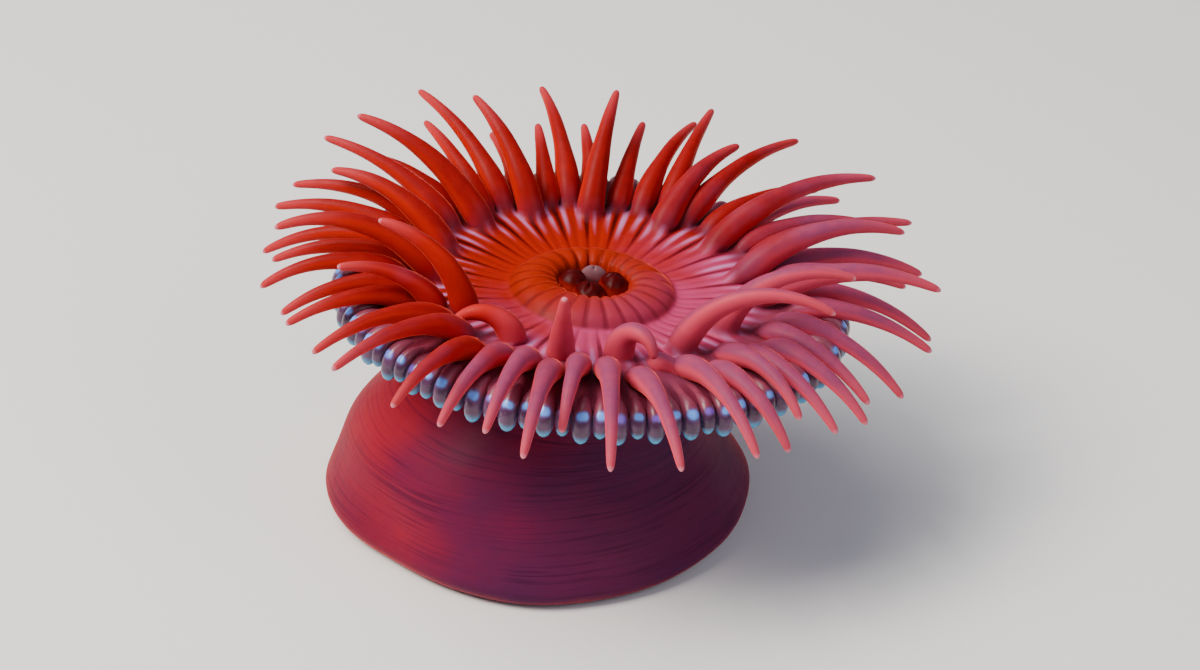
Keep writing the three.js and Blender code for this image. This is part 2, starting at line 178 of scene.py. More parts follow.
INNER_ROOT: dict[str, float] = {"ease": 1.1, "reach": 14.0, "thickness": 2.8}
# The inner tentacles' postures, by number.
INNER_POSTURES = (
    Posture(66, -6, 8, 0, 9, **INNER_ROOT),
    Posture(98, 190, 32, 0, 8.6, ease=1.7, aside=-2, reach=14.0, thickness=3.0),
    Posture(85, 112, 44, 0, 18.3, ease=0.95, aside=-2, reach=14.0, thickness=3.1, taper=0.78),
    Posture(88, 104, 28, 0, 16, ease=0.9, aside=-1, reach=14.0, thickness=3.0, taper=0.85),
    Posture(45, 66, 4, -4, 20.5, ease=1.1, reach=13.8, thickness=2.8),
    Posture(49, 69, 2, -8, 19.3, ease=1.1, aside=-5, reach=13.5, thickness=2.8),
    Posture(43, 52, -8, -16, 20.8, ease=1.1, aside=-2.5, reach=13.6, thickness=2.8),
    Posture(51, 51, -8, -14, 14.6, ease=1.1, aside=-3, reach=13.6, thickness=2.8),
    Posture(62, 38, -8, -6, 15, aside=2, **INNER_ROOT),
    Posture(60, 46, 7, 10, 15.5, **INNER_ROOT),
    Posture(54, 50, 8, 16, 18.4, aside=-2, **INNER_ROOT),
    Posture(55, 66, -8, 4, 15.8, **INNER_ROOT),
    Posture(60, 90, -6, 0, 19, **INNER_ROOT),
    Posture(84, 80, -36, -6, 14, aside=4, **INNER_ROOT),
    Posture(94, 152, -58, 0, 8.3, ease=1.05, aside=5, reach=14.0, thickness=2.8),
)

# The outer tentacles' postures at evenly spaced azimuths, from +X on.
OUTER_STATIONS = (
    Posture(44, 60, -2, -6, 17.5),
    Posture(46, 54, -6, -8, 16.5),
    Posture(62, 56, 0, 0, 15.5),
    Posture(54, 54, 6, 8, 16.5),
    Posture(52, 78, 0, 0, 16.5),
    Posture(56, 88, -4, -4, 16),
    Posture(58, 104, 0, 0, 15),
    Posture(50, 92, 2, 2, 16.5),
)

# What single outer tentacles hold instead of what the stations give them, by number.
OUTER_EXCEPTIONS: dict[int, dict[str, float]] = {
    0: {"swing": 3, "length": 16.6},
    1: {"rise": 56, "bend": 126, "swing": -3, "twist": -3, "length": 13, "ease": 1.2},
    2: {"swing": -2, "twist": 0, "length": 18.2},
    3: {"swing": 4, "twist": 2, "length": 16.5},
    4: {"rise": 88, "bend": 160, "swing": 34, "twist": 10, "length": 6.2, "reach": 15},
    5: {"length": 17},
    6: {"length": 14},
    7: {"rise": 56, "bend": 96, "swing": 6, "twist": -20, "length": 13.5},
    8: {"rise": 40, "bend": 78, "swing": -7, "twist": -4, "length": 15.5},
    9: {"rise": 40, "bend": 82, "swing": -10, "length": 15},
    10: {"rise": 43, "bend": 80, "swing": -18, "length": 15.5},
    11: {"rise": 38, "bend": 82, "swing": -10, "length": 17},
    12: {"rise": 37, "bend": 69, "swing": -2, "length": 16.5},
    13: {"rise": 39, "bend": 80, "length": 18.5},
    14: {"length": 15.5},
    15: {"rise": 43, "bend": 70, "length": 17.3},
    16: {"rise": 41, "bend": 50, "length": 19},
    18: {"rise": 47, "bend": 60, "length": 14.7},
    19: {"rise": 40, "bend": 54, "swing": -9, "length": 16.4},
    20: {"bend": 60, "swing": -9, "length": 19},
    21: {"swing": 4, "twist": 2, "length": 16.8},
    22: {"swing": -3, "twist": -8, "length": 16.2},
    23: {"swing": -5, "length": 12.6},
    24: {"swing": 9, "length": 10.8},
    25: {"swing": 3, "twist": 5, "length": 17.9},
    26: {"swing": -2, "twist": -7, "length": 11.6},
    27: {"swing": -5, "length": 11.6},
    28: {"length": 18.3},
    29: {"swing": -3, "twist": -4, "length": 14.5},
    30: {"length": 13.8},
    31: {"length": 17.6},
    32: {"bend": 72, "length": 17.6},
    33: {"length": 16.5},
    34: {"rise": 49, "bend": 88, "length": 17.8},
    36: {"bend": 97, "length": 16},
    37: {"rise": 50, "bend": 91, "length": 15.4},
    38: {"rise": 48, "bend": 82},
    39: {"rise": 84, "bend": 92, "swing": -20, "twist": 0, "length": 12.4, "reach": 16, "aside": -2},
    40: {"rise": 60, "bend": 95, "swing": -5, "length": 16.6},
    41: {"bend": 91, "length": 17.4},
    42: {"rise": 56, "bend": 94, "swing": 0, "twist": 0, "length": 14.4},
    43: {"bend": 99, "swing": 0, "twist": 0, "length": 14.3},
    44: {"bend": 99, "swing": 3, "twist": 0, "length": 15.2},
}


# ---------------------------------------------------------------- meshes


@dataclass
class Surface:
    """Points, faces and values at the points of one mesh that is being made."""

    points: Array
    faces: list[Array]
    values: dict[str, Array] = field(default_factory=dict)

    def kept(self) -> "Surface":
        """This surface without the points that no face uses.

        Returns:
            The smaller surface.
        """
        used = np.zeros(len(self.points), dtype=bool)
        for block in self.faces:
            used[block] = True
        number = np.cumsum(used) - 1
        faces = [number[block] for block in self.faces]
        return Surface(self.points[used], faces, {key: value[used] for key, value in self.values.items()})

    def put_in(self, name: str) -> bpy.types.Object:
        """Makes the mesh object, in metres, at the origin.

        Args:
            name: The piece's name.

        Returns:
            The new object, linked to the scene.
        """
        mesh = bpy.data.meshes.new(name)
        sizes = np.concatenate([np.full(len(block), block.shape[1]) for block in self.faces])
        corners = np.concatenate([block.ravel() for block in self.faces])
        mesh.vertices.add(len(self.points))
        mesh.vertices.foreach_set("co", (self.points * MM).astype(np.float32).ravel())
        mesh.loops.add(len(corners))
        mesh.loops.foreach_set("vertex_index", corners.astype(np.int32))
        mesh.polygons.add(len(sizes))
        mesh.polygons.foreach_set("loop_start", (np.cumsum(sizes) - sizes).astype(np.int32))
        mesh.update(calc_edges=True)
        mesh.polygons.foreach_set("use_smooth", np.ones(len(sizes), dtype=bool))
        for key, value in self.values.items():
            kind, slot = ("FLOAT_VECTOR", "vector") if value.ndim == 2 else ("FLOAT", "value")
            attribute = mesh.attributes.new(key, kind, "POINT")
            attribute.data.foreach_set(slot, value.astype(np.float32).ravel())
        piece = bpy.data.objects.new(name, mesh)
        bpy.context.scene.collection.objects.link(piece)
        return piece


def merged(parts: list[Surface]) -> Surface:
    """Several surfaces as one, where the faces already number the points of the whole.

    Args:
        parts: The surfaces, all with the same values.

    Returns:
        The one surface.
    """
    points = np.concatenate([part.points for part in parts])
    faces = [block for part in parts for block in part.faces]
    values = {key: np.concatenate([part.values[key] for part in parts]) for key in parts[0].values}
    return Surface(points, faces, values)


def joined(parts: list[Surface]) -> Surface:
    """Several surfaces as one, with each part's faces numbered on from the last.

    Args:
        parts: The surfaces, all with the same values.

    Returns:
        The one surface.
    """
    starts = np.cumsum([0] + [len(part.points) for part in parts])
    return merged([
        Surface(part.points, [block + start for block in part.faces], part.values)
        for part, start in zip(parts, starts)
    ])


def grid_faces(number: Array) -> Array:
    """Four-cornered faces of a grid that closes on itself along its rows.

    Args:
        number: The points' numbers, a row of them for each row of the grid.

    Returns:
        The faces, shaped (rows - 1, columns, 4), anticlockwise where rows run outwards from a middle.
    """
    beside = np.roll(number, -1, axis=1)
    return np.stack([number[:-1], number[1:], beside[1:], beside[:-1]], axis=-1)


def fan_faces(edge: Array, pole: int) -> Array:
    """Triangles that close an edge, whose points run anticlockwise from outside, to a pole."""
    return np.stack([np.full(len(edge), pole), edge, np.roll(edge, -1)], axis=-1)


def capsule_faces(rings: int, sides: int) -> list[Array]:
    """Faces of rings of points that are closed to a pole at each end.

    Args:
        rings: How many rings there are.
        sides: How many points each has. The two poles are numbered after the last ring.

    Returns:
        The rings' faces and those of the two ends.
    """
    number = np.arange(rings * sides).reshape(rings, sides)
    ends = [fan_faces(number[0], number.size), fan_faces(number[-1, ::-1], number.size + 1)]
    return [grid_faces(number).reshape(-1, 4), *ends]


# ---------------------------------------------------------------- the stance


@dataclass(frozen=True)
class Stance:
    """How the upright animal leans over, and where its foot is drawn in and its side swells."""

    shift: float = 5.4
    tilt: float = 5.0
    lean_from: float = 8.0
    lean_to: float = 18.0
    hollow_azimuth: float = -131.0
    hollow_depth: float = 2.0
    hollow_spread: float = 32.0
    hollow_height: float = 13.0
    swell_azimuth: float = 176.0
    swell_depth: float = 1.7
    swell_spread: float = 58.0
    swell_height: float = 10.5
    swell_rise: float = 4.6
    foot_radius: float = 20.9

    def _bell(self, azimuth: Array, centre: float, spread: float) -> Array:
        """A bell over the azimuths beside a centre: 1 on it, and falling to nothing past its spread."""
        around_centre = (azimuth - centre + 180.0) % 360.0 - 180.0
        return np.exp(-((around_centre / spread) ** 2))

    def crown(self, points: Array) -> Array:
        """Crown points, turned about +Y by the tilt and moved to the crown's place.

        Args:
            points: Upright points, in millimetres.

        Returns:
            The leaned points.
        """
        tilt = math.radians(self.tilt)
        across, along, height = points[:, 0], points[:, 1], points[:, 2] - CROWN_HEIGHT
        turned_x = self.shift + across * math.cos(tilt) + height * math.sin(tilt)
        turned_z = CROWN_HEIGHT + height * math.cos(tilt) - across * math.sin(tilt)
        return np.stack([turned_x, along, turned_z], axis=-1)

    def body(self, points: Array) -> Array:
        """Body points, drawn in over the hollow, out over the swell, and leaned towards the crown.

        Args:
            points: Upright points, in millimetres.

        Returns:
            The leaned points.
        """
        azimuth = np.degrees(np.arctan2(points[:, 1], points[:, 0]))
        low = 1.0 - smooth(points[:, 2], 0.0, self.hollow_height)
        middle = np.exp(-(((points[:, 2] - self.swell_height) / self.swell_rise) ** 2))
        inwards = self.hollow_depth * low * self._bell(azimuth, self.hollow_azimuth, self.hollow_spread)
        outwards = self.swell_depth * middle * self._bell(azimuth, self.swell_azimuth, self.swell_spread)
        scale = 1.0 + (outwards - inwards) / self.foot_radius
        across, along = points[:, 0] * scale, points[:, 1] * scale
        share = smooth(points[:, 2], self.lean_from, self.lean_to)
        tilt = math.radians(self.tilt) * share
        below = CROWN_HEIGHT - points[:, 2]
        leaned_x = self.shift * share - below * np.sin(tilt) + across * np.cos(tilt)
        leaned_z = CROWN_HEIGHT - below * np.cos(tilt) - across * np.sin(tilt)
        return np.stack([leaned_x, along, leaned_z], axis=-1)


# ---------------------------------------------------------------- tentacles


@dataclass(frozen=True)
class Ring:
    """One ring of tentacles: how its limbs are cut into rings of points, and how they taper.

    The rings of points lie from first_share to the cap, closer together near the root by the power
    crowding. The first ones lean over only by the shares in leans. The cap lists the shares of the
    last rings and how wide each is. A wobble, a slow sine along the limb, keeps it from being plain.
    """

    count: int
    sides: int
    half_columns: int  # of the skin, from a limb's middle to its opening's edge
    body_rings: int
    row: int  # of the tentacles' zone, on which a limb stands
    belly: float
    first_tint: int = 0
    belly_place: float = 0.24
    belly_spread: float = 0.17
    tip_thickness: float = 0.68
    depth: float = 1.1  # of a root under the skin's top
    fullness: float = 1.02
    rim_width: float = 0.98
    first_share: float = 0.055
    crowding: float = 1.08
    leans: tuple[float, ...] = (0.42, 0.74, 0.93)
    wobble: float = 0.025
    wobble_pace: float = 17.0
    wobble_step: float = 2.4
    cap: Outline = ((0.955, 1.0), (0.98, 0.8), (0.995, 0.45))

    def azimuth(self, number: int) -> float:
        """Where the limb of a number stands."""
        return FIRST_AZIMUTH + number * 360.0 / self.count

    def radius(self, share: Array, posture: Posture) -> Array:
        """A limb's radius: from the thickness to the tip's as 1 - share**taper, with a belly.

        Args:
            share: Shares of the limb's length.
            posture: The limb's posture.

        Returns:
            The radius at each share.
        """
        tip = self.tip_thickness / 2.0
        swell = 1.0 + self.belly * np.exp(-(((share - self.belly_place) / self.belly_spread) ** 2))
        return tip + (posture.thickness / 2.0 * swell - tip) * (1.0 - share**posture.taper)

    def swelling(self) -> float:
        """How much wider the cage is than the limb, because smoothing draws a polygon in."""
        return self.fullness / (2.0 / 3.0 + math.cos(2.0 * math.pi / self.sides) / 3.0)


@dataclass(frozen=True)
class Limb:
    """One tentacle of the upright animal, and the row of the skin that it stands over."""

    number: int
    posture: Posture
    ring: Ring
    row: int
    steps: int = 240  # in which its middle line is summed

    @property
    def azimuth(self) -> float:
        """Where it stands in its ring."""
        return self.ring.azimuth(self.number)

    @property
    def tint(self) -> float:
        """A steady number from 0 to 1 that sets its colour a little apart."""
        return 0.5 + 0.5 * float(uneven(np.array(self.number + self.ring.first_tint), 2))

    def _direction(self, share: Array) -> Array:
        """Unit vectors along the limb: its elevation falls and its heading turns with the share.

        Args:
            share: Shares of the limb's length.

        Returns:
            The direction at each share.
        """
        pose = self.posture
        elevation = np.radians(pose.rise - pose.bend * share**pose.ease)[:, None]
        outward, _ = level_axes(np.radians(self.azimuth + pose.swing + pose.twist * share))
        return np.cos(elevation) * outward + np.sin(elevation) * UP

    def _middle_line(self) -> tuple[Array, Array]:
        """The middle line from where it leaves the skin, by summing short steps along the direction.

        Returns:
            The shares of the length, and the point at each.
        """
        shares = np.linspace(0.0, 1.0, self.steps + 1)
        ahead = self._direction((shares[1:] + shares[:-1]) / 2.0)
        outward, _ = level_axes(math.radians(self.azimuth + self.posture.aside))
        root = outward * self.posture.reach + UP * (CROWN_HEIGHT + CROWN_TOP - self.ring.depth)
        run = np.cumsum(ahead, axis=0) * (self.posture.length / self.steps)
        points = root + np.concatenate([np.zeros((1, 3)), run])
        start = int(np.argmax(points[:, 2] >= CROWN_HEIGHT + CROWN_TOP))
        return shares[start:], points[start:]

    def _circle(self, outward: Array, sideways: Array) -> Array:
        """Unit vectors to the limb's sides, from its outward side on."""
        angles = around(self.ring.sides)[:, None]
        return np.cos(angles) * outward + np.sin(angles) * sideways

    def rim(self) -> Array:
        """The points of the skin on which the limb stands: a circle about the middle line's foot.

        Returns:
            The points, one to a side.
        """
        _, points = self._middle_line()
        spread = self.ring.radius(np.array(0.0), self.posture) * self.ring.rim_width
        return points[0] + spread * self._circle(*level_axes(math.radians(self.azimuth)))

    def sleeve(self) -> tuple[Array, Array, Array]:
        """The limb's rings, each a circle across the middle line, carried along without twisting.

        Returns:
            The rings' points shaped (rings, sides, 3), the share of each ring, and the tip's point.
        """
        ring = self.ring
        cap_shares, cap_widths = np.array(ring.cap).T
        spaced = np.linspace(0.0, 1.0, ring.body_rings + 1)[:-1] ** ring.crowding
        body = ring.first_share + (cap_shares[0] - ring.first_share) * spaced
        shares, points = self._middle_line()
        share = shares[0] + (1.0 - shares[0]) * np.concatenate([body, cap_shares])
        middle = np.stack([np.interp(share, shares, column) for column in points.T], axis=-1)
        lean = np.ones((len(share), 1))
        lean[: len(ring.leans), 0] = ring.leans
        ahead = unit(UP * (1.0 - lean) + self._direction(share) * lean)
        wobble = 1.0 + ring.wobble * np.sin(share * ring.wobble_pace + self.number * ring.wobble_step)
        widths = np.concatenate([np.ones(ring.body_rings), cap_widths])
        radius = ring.radius(share, self.posture) * widths * ring.swelling() * wobble
        outward, sideways = level_axes(math.radians(self.azimuth))
        before = UP
        rings = []
        for level, now in enumerate(ahead):
            outward, sideways = turned(outward, before, now), turned(sideways, before, now)
            before = now
            rings.append(middle[level] + radius[level] * self._circle(outward, sideways))
        return np.stack(rings), share, points[-1]


@dataclass
class Tentacles:
    """All the tentacles: an inner one to each sector of the disc, and outer ones in front of it."""

    front_reach: float = 16.9  # of the outer tentacle straight in front of an inner one
    unevenness: tuple[tuple[str, float], ...] = (("rise", 4), ("bend", 6), ("swing", 2), ("length", 0.9))
    inner: Ring = Ring(
        count=SECTORS, sides=12, half_columns=2, body_rings=15, row=1, belly=0.04, first_tint=100
    )
    outer: Ring = Ring(
        count=SECTORS * OUTER_PER_SECTOR, sides=8, half_columns=1, body_rings=12, row=3, belly=0.26
    )

    def _station(self, azimuth: float) -> Posture:
        """The outer posture at an azimuth, eased between the two stations beside it.

        Args:
            azimuth: Where the limb stands.

        Returns:
            The posture there.
        """
        place = (azimuth % 360.0) / (360.0 / len(OUTER_STATIONS))
        low, high = (OUTER_STATIONS[(int(place) + step) % len(OUTER_STATIONS)] for step in (0, 1))
        share = float(smooth(place % 1.0, 0.0, 1.0))
        keys = ["twist", *(key for key, _ in self.unevenness)]
        return replace(low, **{
            key: getattr(low, key) + (getattr(high, key) - getattr(low, key)) * share for key in keys
        })

    def _outer_limb(self, number: int) -> Limb:
        """One outer tentacle: its station's posture, made a little uneven, then its own exceptions.

        Args:
            number: Its number in the ring.

        Returns:
            The tentacle.
        """
        posture = self._station(self.outer.azimuth(number))
        moved = {
            key: getattr(posture, key) + amount * float(uneven(np.array(number), kind))
            for kind, (key, amount) in enumerate(self.unevenness)
        }
        front = number % OUTER_PER_SECTOR == 0
        if front:
            moved["reach"] = self.front_reach
        moved.update(OUTER_EXCEPTIONS.get(number, {}))
        return Limb(number, replace(posture, **moved), self.outer, self.outer.row + int(front))

    def limbs(self) -> list[Limb]:
        """Every tentacle.

        Returns:
            The tentacles, the inner ones first.
        """
        ring = self.inner
        inner = [Limb(number, posture, ring, ring.row) for number, posture in enumerate(INNER_POSTURES)]
        return inner + [self._outer_limb(number) for number in range(self.outer.count)]


# ---------------------------------------------------------------- shader sums


class Term:
    """A number socket that can be used in sums, each of which adds one Math node."""

    def __init__(self, paint: "Paint", socket: Any) -> None:
        """Wraps a socket of a paint."""
        self.paint = paint
        self.socket = socket

    def _sum(self, operation: str, first: Any, second: Any) -> "Term":
        """Adds one Math node for an operation on two numbers or sockets."""
        node = self.paint.node("ShaderNodeMath", {"operation": operation}, {0: first, 1: second})
        return Term(self.paint, node.outputs[0])

    def __add__(self, other: Any) -> "Term":
        """This plus other."""
        return self._sum("ADD", self, other)

    __radd__ = __add__

    def __sub__(self, other: Any) -> "Term":
        """This minus other."""
        return self._sum("SUBTRACT", self, other)

    def __rsub__(self, other: Any) -> "Term":
        """Other minus this."""
        return self._sum("SUBTRACT", other, self)

    def __mul__(self, other: Any) -> "Term":
        """This times other."""
        return self._sum("MULTIPLY", self, other)

    __rmul__ = __mul__

    def __truediv__(self, other: Any) -> "Term":
        """This divided by other."""
        return self._sum("DIVIDE", self, other)

    def heading(self, other: "Term") -> "Term":
        """The azimuth, in radians, of the place with other as its X and this as its Y."""
        return self._sum("ARCTAN2", self, other)

    def wave(self, count: int, centre: float) -> "Term":
        """A wave from -1 to 1 over this azimuth: count crests in a turn, one of them at centre."""
        return self._sum("COSINE", self * count - count * math.radians(centre), 0.0)

    def crest(self, count: int, centre: float) -> "Term":
        """The same wave from 0 to 1."""
        return self.wave(count, centre) * 0.5 + 0.5

    def step(self, low: float, high: float) -> "Term":
        """An S-shaped step from 0 at low to 1 at high.

        Args:
            low: Where it starts. It may be the larger of the two.
            high: Where it ends.

        Returns:
            The stepped number.
        """
        settings = {"interpolation_type": "SMOOTHSTEP"}
        inputs = {"Value": self, "From Min": low, "From Max": high}
        return Term(self.paint, self.paint.node("ShaderNodeMapRange", settings, inputs).outputs[0])


class Paint:
    """A material's nodes, and the few ways in which the finishes add to them."""

    def __init__(self, name: str) -> None:
        """Makes the material with an output and a Principled shader.

        Args:
            name: The material's name.
        """
        self.material = bpy.data.materials.new(name)
        self.material.use_nodes = True
        self.tree = self.material.node_tree
        self.tree.nodes.clear()
        self.shader = self.node("ShaderNodeBsdfPrincipled", {}, {})
        self.node("ShaderNodeOutputMaterial", {}, {"Surface": self.shader.outputs[0]})

    def _feed(self, socket: Any, value: Any) -> None:
        """Gives an input its value or its link.

        Args:
            socket: The input.
            value: A number, a colour, a vector, a socket or a Term.
        """
        source = value.socket if isinstance(value, Term) else value
        if isinstance(source, bpy.types.NodeSocket):
            self.tree.links.new(source, socket)
        else:
            socket.default_value = source

    def node(self, kind: str, settings: dict[str, Any], inputs: dict[Any, Any]) -> Any:
        """Adds a node.

        Args:
            kind: Its Blender type.
            settings: Its properties, set first.
            inputs: A value, a socket or a Term for each input, by name or place.

        Returns:
            The node.
        """
        made = self.tree.nodes.new(kind)
        for key, value in settings.items():
            setattr(made, key, value)
        for key, value in inputs.items():
            self._feed(made.inputs[key], value)
        return made

    def _attribute(self, name: str) -> Any:
        """A node that reads what the mesh carries at its points."""
        settings = {"attribute_name": name, "attribute_type": "GEOMETRY"}
        return self.node("ShaderNodeAttribute", settings, {})

    def number(self, name: str) -> Term:
        """A number that the mesh carries at its points."""
        return Term(self, self._attribute(name).outputs["Fac"])

    def place(self, name: str) -> Any:
        """A vector that the mesh carries at its points."""
        return self._attribute(name).outputs["Vector"]

    def parts(self, vector: Any) -> list[Term]:
        """The three numbers of a vector."""
        split = self.node("ShaderNodeSeparateXYZ", {}, {0: vector})
        return [Term(self, output) for output in split.outputs]

    def scaled(self, vector: Any, scale: tuple[float, float, float]) -> Any:
        """A vector times a scale for each axis."""
        node = self.node("ShaderNodeVectorMath", {"operation": "MULTIPLY"}, {0: vector, 1: scale})
        return node.outputs[0]

    def vector(self, x: Any, y: Any, z: Any) -> Any:
        """A vector of three numbers."""
        return self.node("ShaderNodeCombineXYZ", {}, {0: x, 1: y, 2: z}).outputs[0]

    def noise(self, vector: Any, scale: float, detail: float = 2.0, roughness: float = 0.5) -> Term:
        """Soft random values about 0.5 over a vector."""
        inputs = {"Vector": vector, "Scale": scale, "Detail": detail, "Roughness": roughness}
        return Term(self, self.node("ShaderNodeTexNoise", {}, inputs).outputs[0])

    def mix(self, factor: Any, first: Any, second: Any) -> Any:
        """A colour between two, by a factor: a Mix node's colours are its inputs 6 and 7."""
        settings = {"data_type": "RGBA", "clamp_factor": True}
        return self.node("ShaderNodeMix", settings, {0: factor, 6: first, 7: second}).outputs[2]

    def bump(self, height: Term, distance: float, strength: float = 1.0, under: Any = None) -> Any:
        """A normal bent by a height.

        Args:
            height: The height, from 0 to 1.
            distance: How high 1 is, in metres.
            strength: How much of it shows.
            under: Another normal to bend further.

        Returns:
            The normal.
        """
        inputs = {"Height": height, "Distance": distance, "Strength": strength}
        if under is not None:
            inputs["Normal"] = under
        return self.node("ShaderNodeBump", {}, inputs).outputs[0]

    def finish(self, piece: bpy.types.Object, **values: Any) -> None:
        """Feeds the shader and gives the material to a piece.

        Args:
            piece: The piece.
            **values: What each of the shader's inputs gets, with underscores for spaces in its name.
        """
        for key, value in values.items():
            self._feed(self.shader.inputs[key.replace("_", " ")], value)
        piece.data.materials.append(self.material)


def srgb(red: int, green: int, blue: int) -> Colour:
    """A display colour as the linear colour that a shader takes, by the standard sRGB curve.

    Args:
        red: From 0 to 255.
        green: The same.
        blue: The same.

    Returns:
        The linear colour, solid.
    """
    parts = [value / 255.0 for value in (red, green, blue)]
    linear = [part / 12.92 if part <= 0.04045 else ((part + 0.055) / 1.055) ** 2.4 for part in parts]
    return (linear[0], linear[1], linear[2], 1.0)


# ---------------------------------------------------------------- finishes


@dataclass(frozen=True)
class Maps:
    """What varies over the skin: places, in metres, the radius, in millimetres, noises, painted light."""

    place: Any
    angle: Term
    radius: Term
    patches: Term
    fine: Term
    lines: Term
    # Painted light: how far a place lies on the shaded side, and on the lit side.
    shaded_side: Term
    lit_side: Term


@dataclass(frozen=True)
class Flesh:
    """The skin's finish: soft, slightly see-through flesh with a colour for each region.

    The back left is painted as lit, towards orange-red, and the front right as shaded, towards
    mauve: painted light. A pair of radii or heights, in millimetres, is where a region fades in,
    from nothing at the first. The scales are of noise, for each metre.
    """

    # Lit-side and shaded-side copies of the column's colours: painted light.
    column_dim_lit_side: Colour = srgb(112, 20, 48)
    column_dim_shaded_side: Colour = srgb(72, 26, 64)
    column_lit_side: Colour = srgb(142, 22, 40)
    column_shaded_side: Colour = srgb(94, 28, 64)
    column_line: Colour = srgb(56, 10, 38)
    foot_rim: Colour = srgb(138, 54, 62)
    # Lit-side and shaded-side copies of the disc's colours and its grooves' colours: painted light.
    disc_lit_side: Colour = srgb(154, 20, 0)
    disc_shaded_side: Colour = srgb(176, 54, 96)
    groove_lit_side: Colour = srgb(66, 4, 2)
    groove_shaded_side: Colour = srgb(104, 18, 38)
    streak: Colour = srgb(190, 126, 176)
    # Lit-side and shaded-side copies of the lips' colours: painted light.
    lip_lit_side: Colour = srgb(150, 28, 0)
    lip_shaded_side: Colour = srgb(148, 44, 72)
    # Painted shade in the creases between the lips' pleats, in lit-side and shaded-side copies.
    crease_shade_lit_side: Colour = srgb(92, 12, 0)
    crease_shade_shaded_side: Colour = srgb(92, 22, 44)
    # Painted shade between the tentacle roots, in lit-side and shaded-side copies.
    gap_shade_lit_side: Colour = srgb(80, 8, 8)
    gap_shade_shaded_side: Colour = srgb(118, 48, 72)
    margin: Colour = srgb(98, 32, 52)
    margin_rib: Colour = srgb(144, 62, 84)
    # Painted shade at a tentacle's root, where it meets the disc.
    root: Colour = srgb(106, 36, 56)
    # Painted light: an orange-red glow under a tentacle's root on the lit side.
    under: Colour = srgb(172, 14, 0)
    # Lit-side and shaded-side copies of the tentacles' colour, and of the dim stripe down their upper
    # side: painted light.
    lit_side_coral: Colour = srgb(178, 22, 6)
    shaded_side_salmon: Colour = srgb(198, 64, 88)
    core_shade: Colour = srgb(136, 58, 92)
    lit_side_core_shade: Colour = srgb(118, 14, 20)
    tip: Colour = srgb(196, 66, 78)
    cap: Colour = srgb(212, 130, 146)
    sheen: Colour = srgb(255, 96, 80)
    patch_scale: float = 160.0
    grain_scale: float = 900.0
    # Painted light: the shaded side lies to the front right, the lit side to the back left.
    shade_slope: float = 42.0  # for each metre towards the right and towards the front
    shade_offset: float = 0.3
    shade_fade: tuple[float, float] = (-0.8, 0.8)
    long_line_scales: tuple[float, float, float] = (60.0, 60.0, 3800.0)
    short_line_scales: tuple[float, float, float] = (160.0, 160.0, 7000.0)
    dim_scales: tuple[float, float, float] = (60.0, 60.0, 110.0)
    break_scale: float = 120.0
    spread_scale: float = 9000.0
    rim_heights: tuple[float, float] = (1.5, 0.6)
    throat_radii: tuple[float, float] = (4.6, 3.6)
    lip_radii: tuple[float, float] = (8.2, 7.7)
    disc_radii: tuple[float, float] = (18.6, 16.4)
    rib_start: tuple[float, float] = (7.9, 9.0)
    rib_end: tuple[float, float] = (15.0, 13.0)
    streak_radii: tuple[float, float] = (11.0, 14.8)
    # Where the painted shade between the tentacle roots fades in.
    gap_shade_radii: tuple[float, float] = (14.4, 16.5)
    edge_radii: tuple[float, float] = (18.5, 21.5)
    wrinkle_height: float = 0.0001
    grain_height: float = 0.00005

    def dress(self, piece: bpy.types.Object) -> None:
        """Gives a piece this finish.

        Args:
            piece: The skin.
        """
        paint = Paint("soft_flesh")
        maps = self._maps(paint)
        on_column = paint.number("column")
        on_limb = paint.number("limb")
        on_disc = maps.radius.step(*self.disc_radii)
        crown = paint.mix(on_disc, self._margin(paint, maps), self._disc(paint, maps))
        sheet = paint.mix(on_column, crown, self._column(paint, maps))
        ribbed_place = maps.radius.step(*self.rib_start) * maps.radius.step(*self.rib_end)
        ribs = maps.angle.wave(RIBS, FIRST_AZIMUTH) * ribbed_place * (1.0 - on_limb) * (1.0 - on_column)
        wrinkled = paint.bump(maps.lines * on_column, self.wrinkle_height, 0.5)
        ribbed = paint.bump(ribs, self.wrinkle_height, 0.3, wrinkled)
        paint.finish(
            piece,
            Base_Color=paint.mix(on_limb, sheet, self._tentacle(paint, maps)),
            Roughness=0.44 + (maps.fine - 0.5) * 0.2 + on_column * 0.1,
            Normal=paint.bump(maps.fine, self.grain_height, 0.5, ribbed),
            IOR=1.36,
            Specular_IOR_Level=0.1,
            Subsurface_Weight=0.3,
            Subsurface_Radius=(1.0, 0.2, 0.14),
            Subsurface_Scale=0.0007,
            Coat_Weight=0.03,
            Coat_Roughness=0.22,
            Coat_IOR=1.34,
            Sheen_Weight=1.0,
            Sheen_Roughness=0.25,
            Sheen_Tint=self.sheen,
        )

    def _maps(self, paint: Paint) -> Maps:
        """Makes what the colours are worked out from.

        The crosswise lines are noise drawn out along the skin and packed close up it.

        Args:
            paint: The material.

        Returns:
            The maps.
        """
        place = paint.place("rest")
        x, y, _ = paint.parts(place)
        patches = paint.noise(place, self.patch_scale, 3.0)
        # Painted light: 0 on the lit back left and 1 on the shaded front right, with a ragged edge.
        shaded_side = (x - y) * self.shade_slope - self.shade_offset + (patches - 0.5) * 1.2
        shaded_side = shaded_side.step(*self.shade_fade)
        long_lines = paint.noise(paint.scaled(place, self.long_line_scales), 1.0, 2.0, 0.55)
        short_lines = paint.noise(paint.scaled(place, self.short_line_scales), 1.0)
        return Maps(
            place=place,
            angle=y.heading(x),
            radius=paint.number("reach") / MM,
            patches=patches,
            fine=paint.noise(place, self.grain_scale, 3.0),
            lines=long_lines * 0.7 + short_lines * 0.3,
            shaded_side=shaded_side,
            lit_side=1.0 - shaded_side,
        )

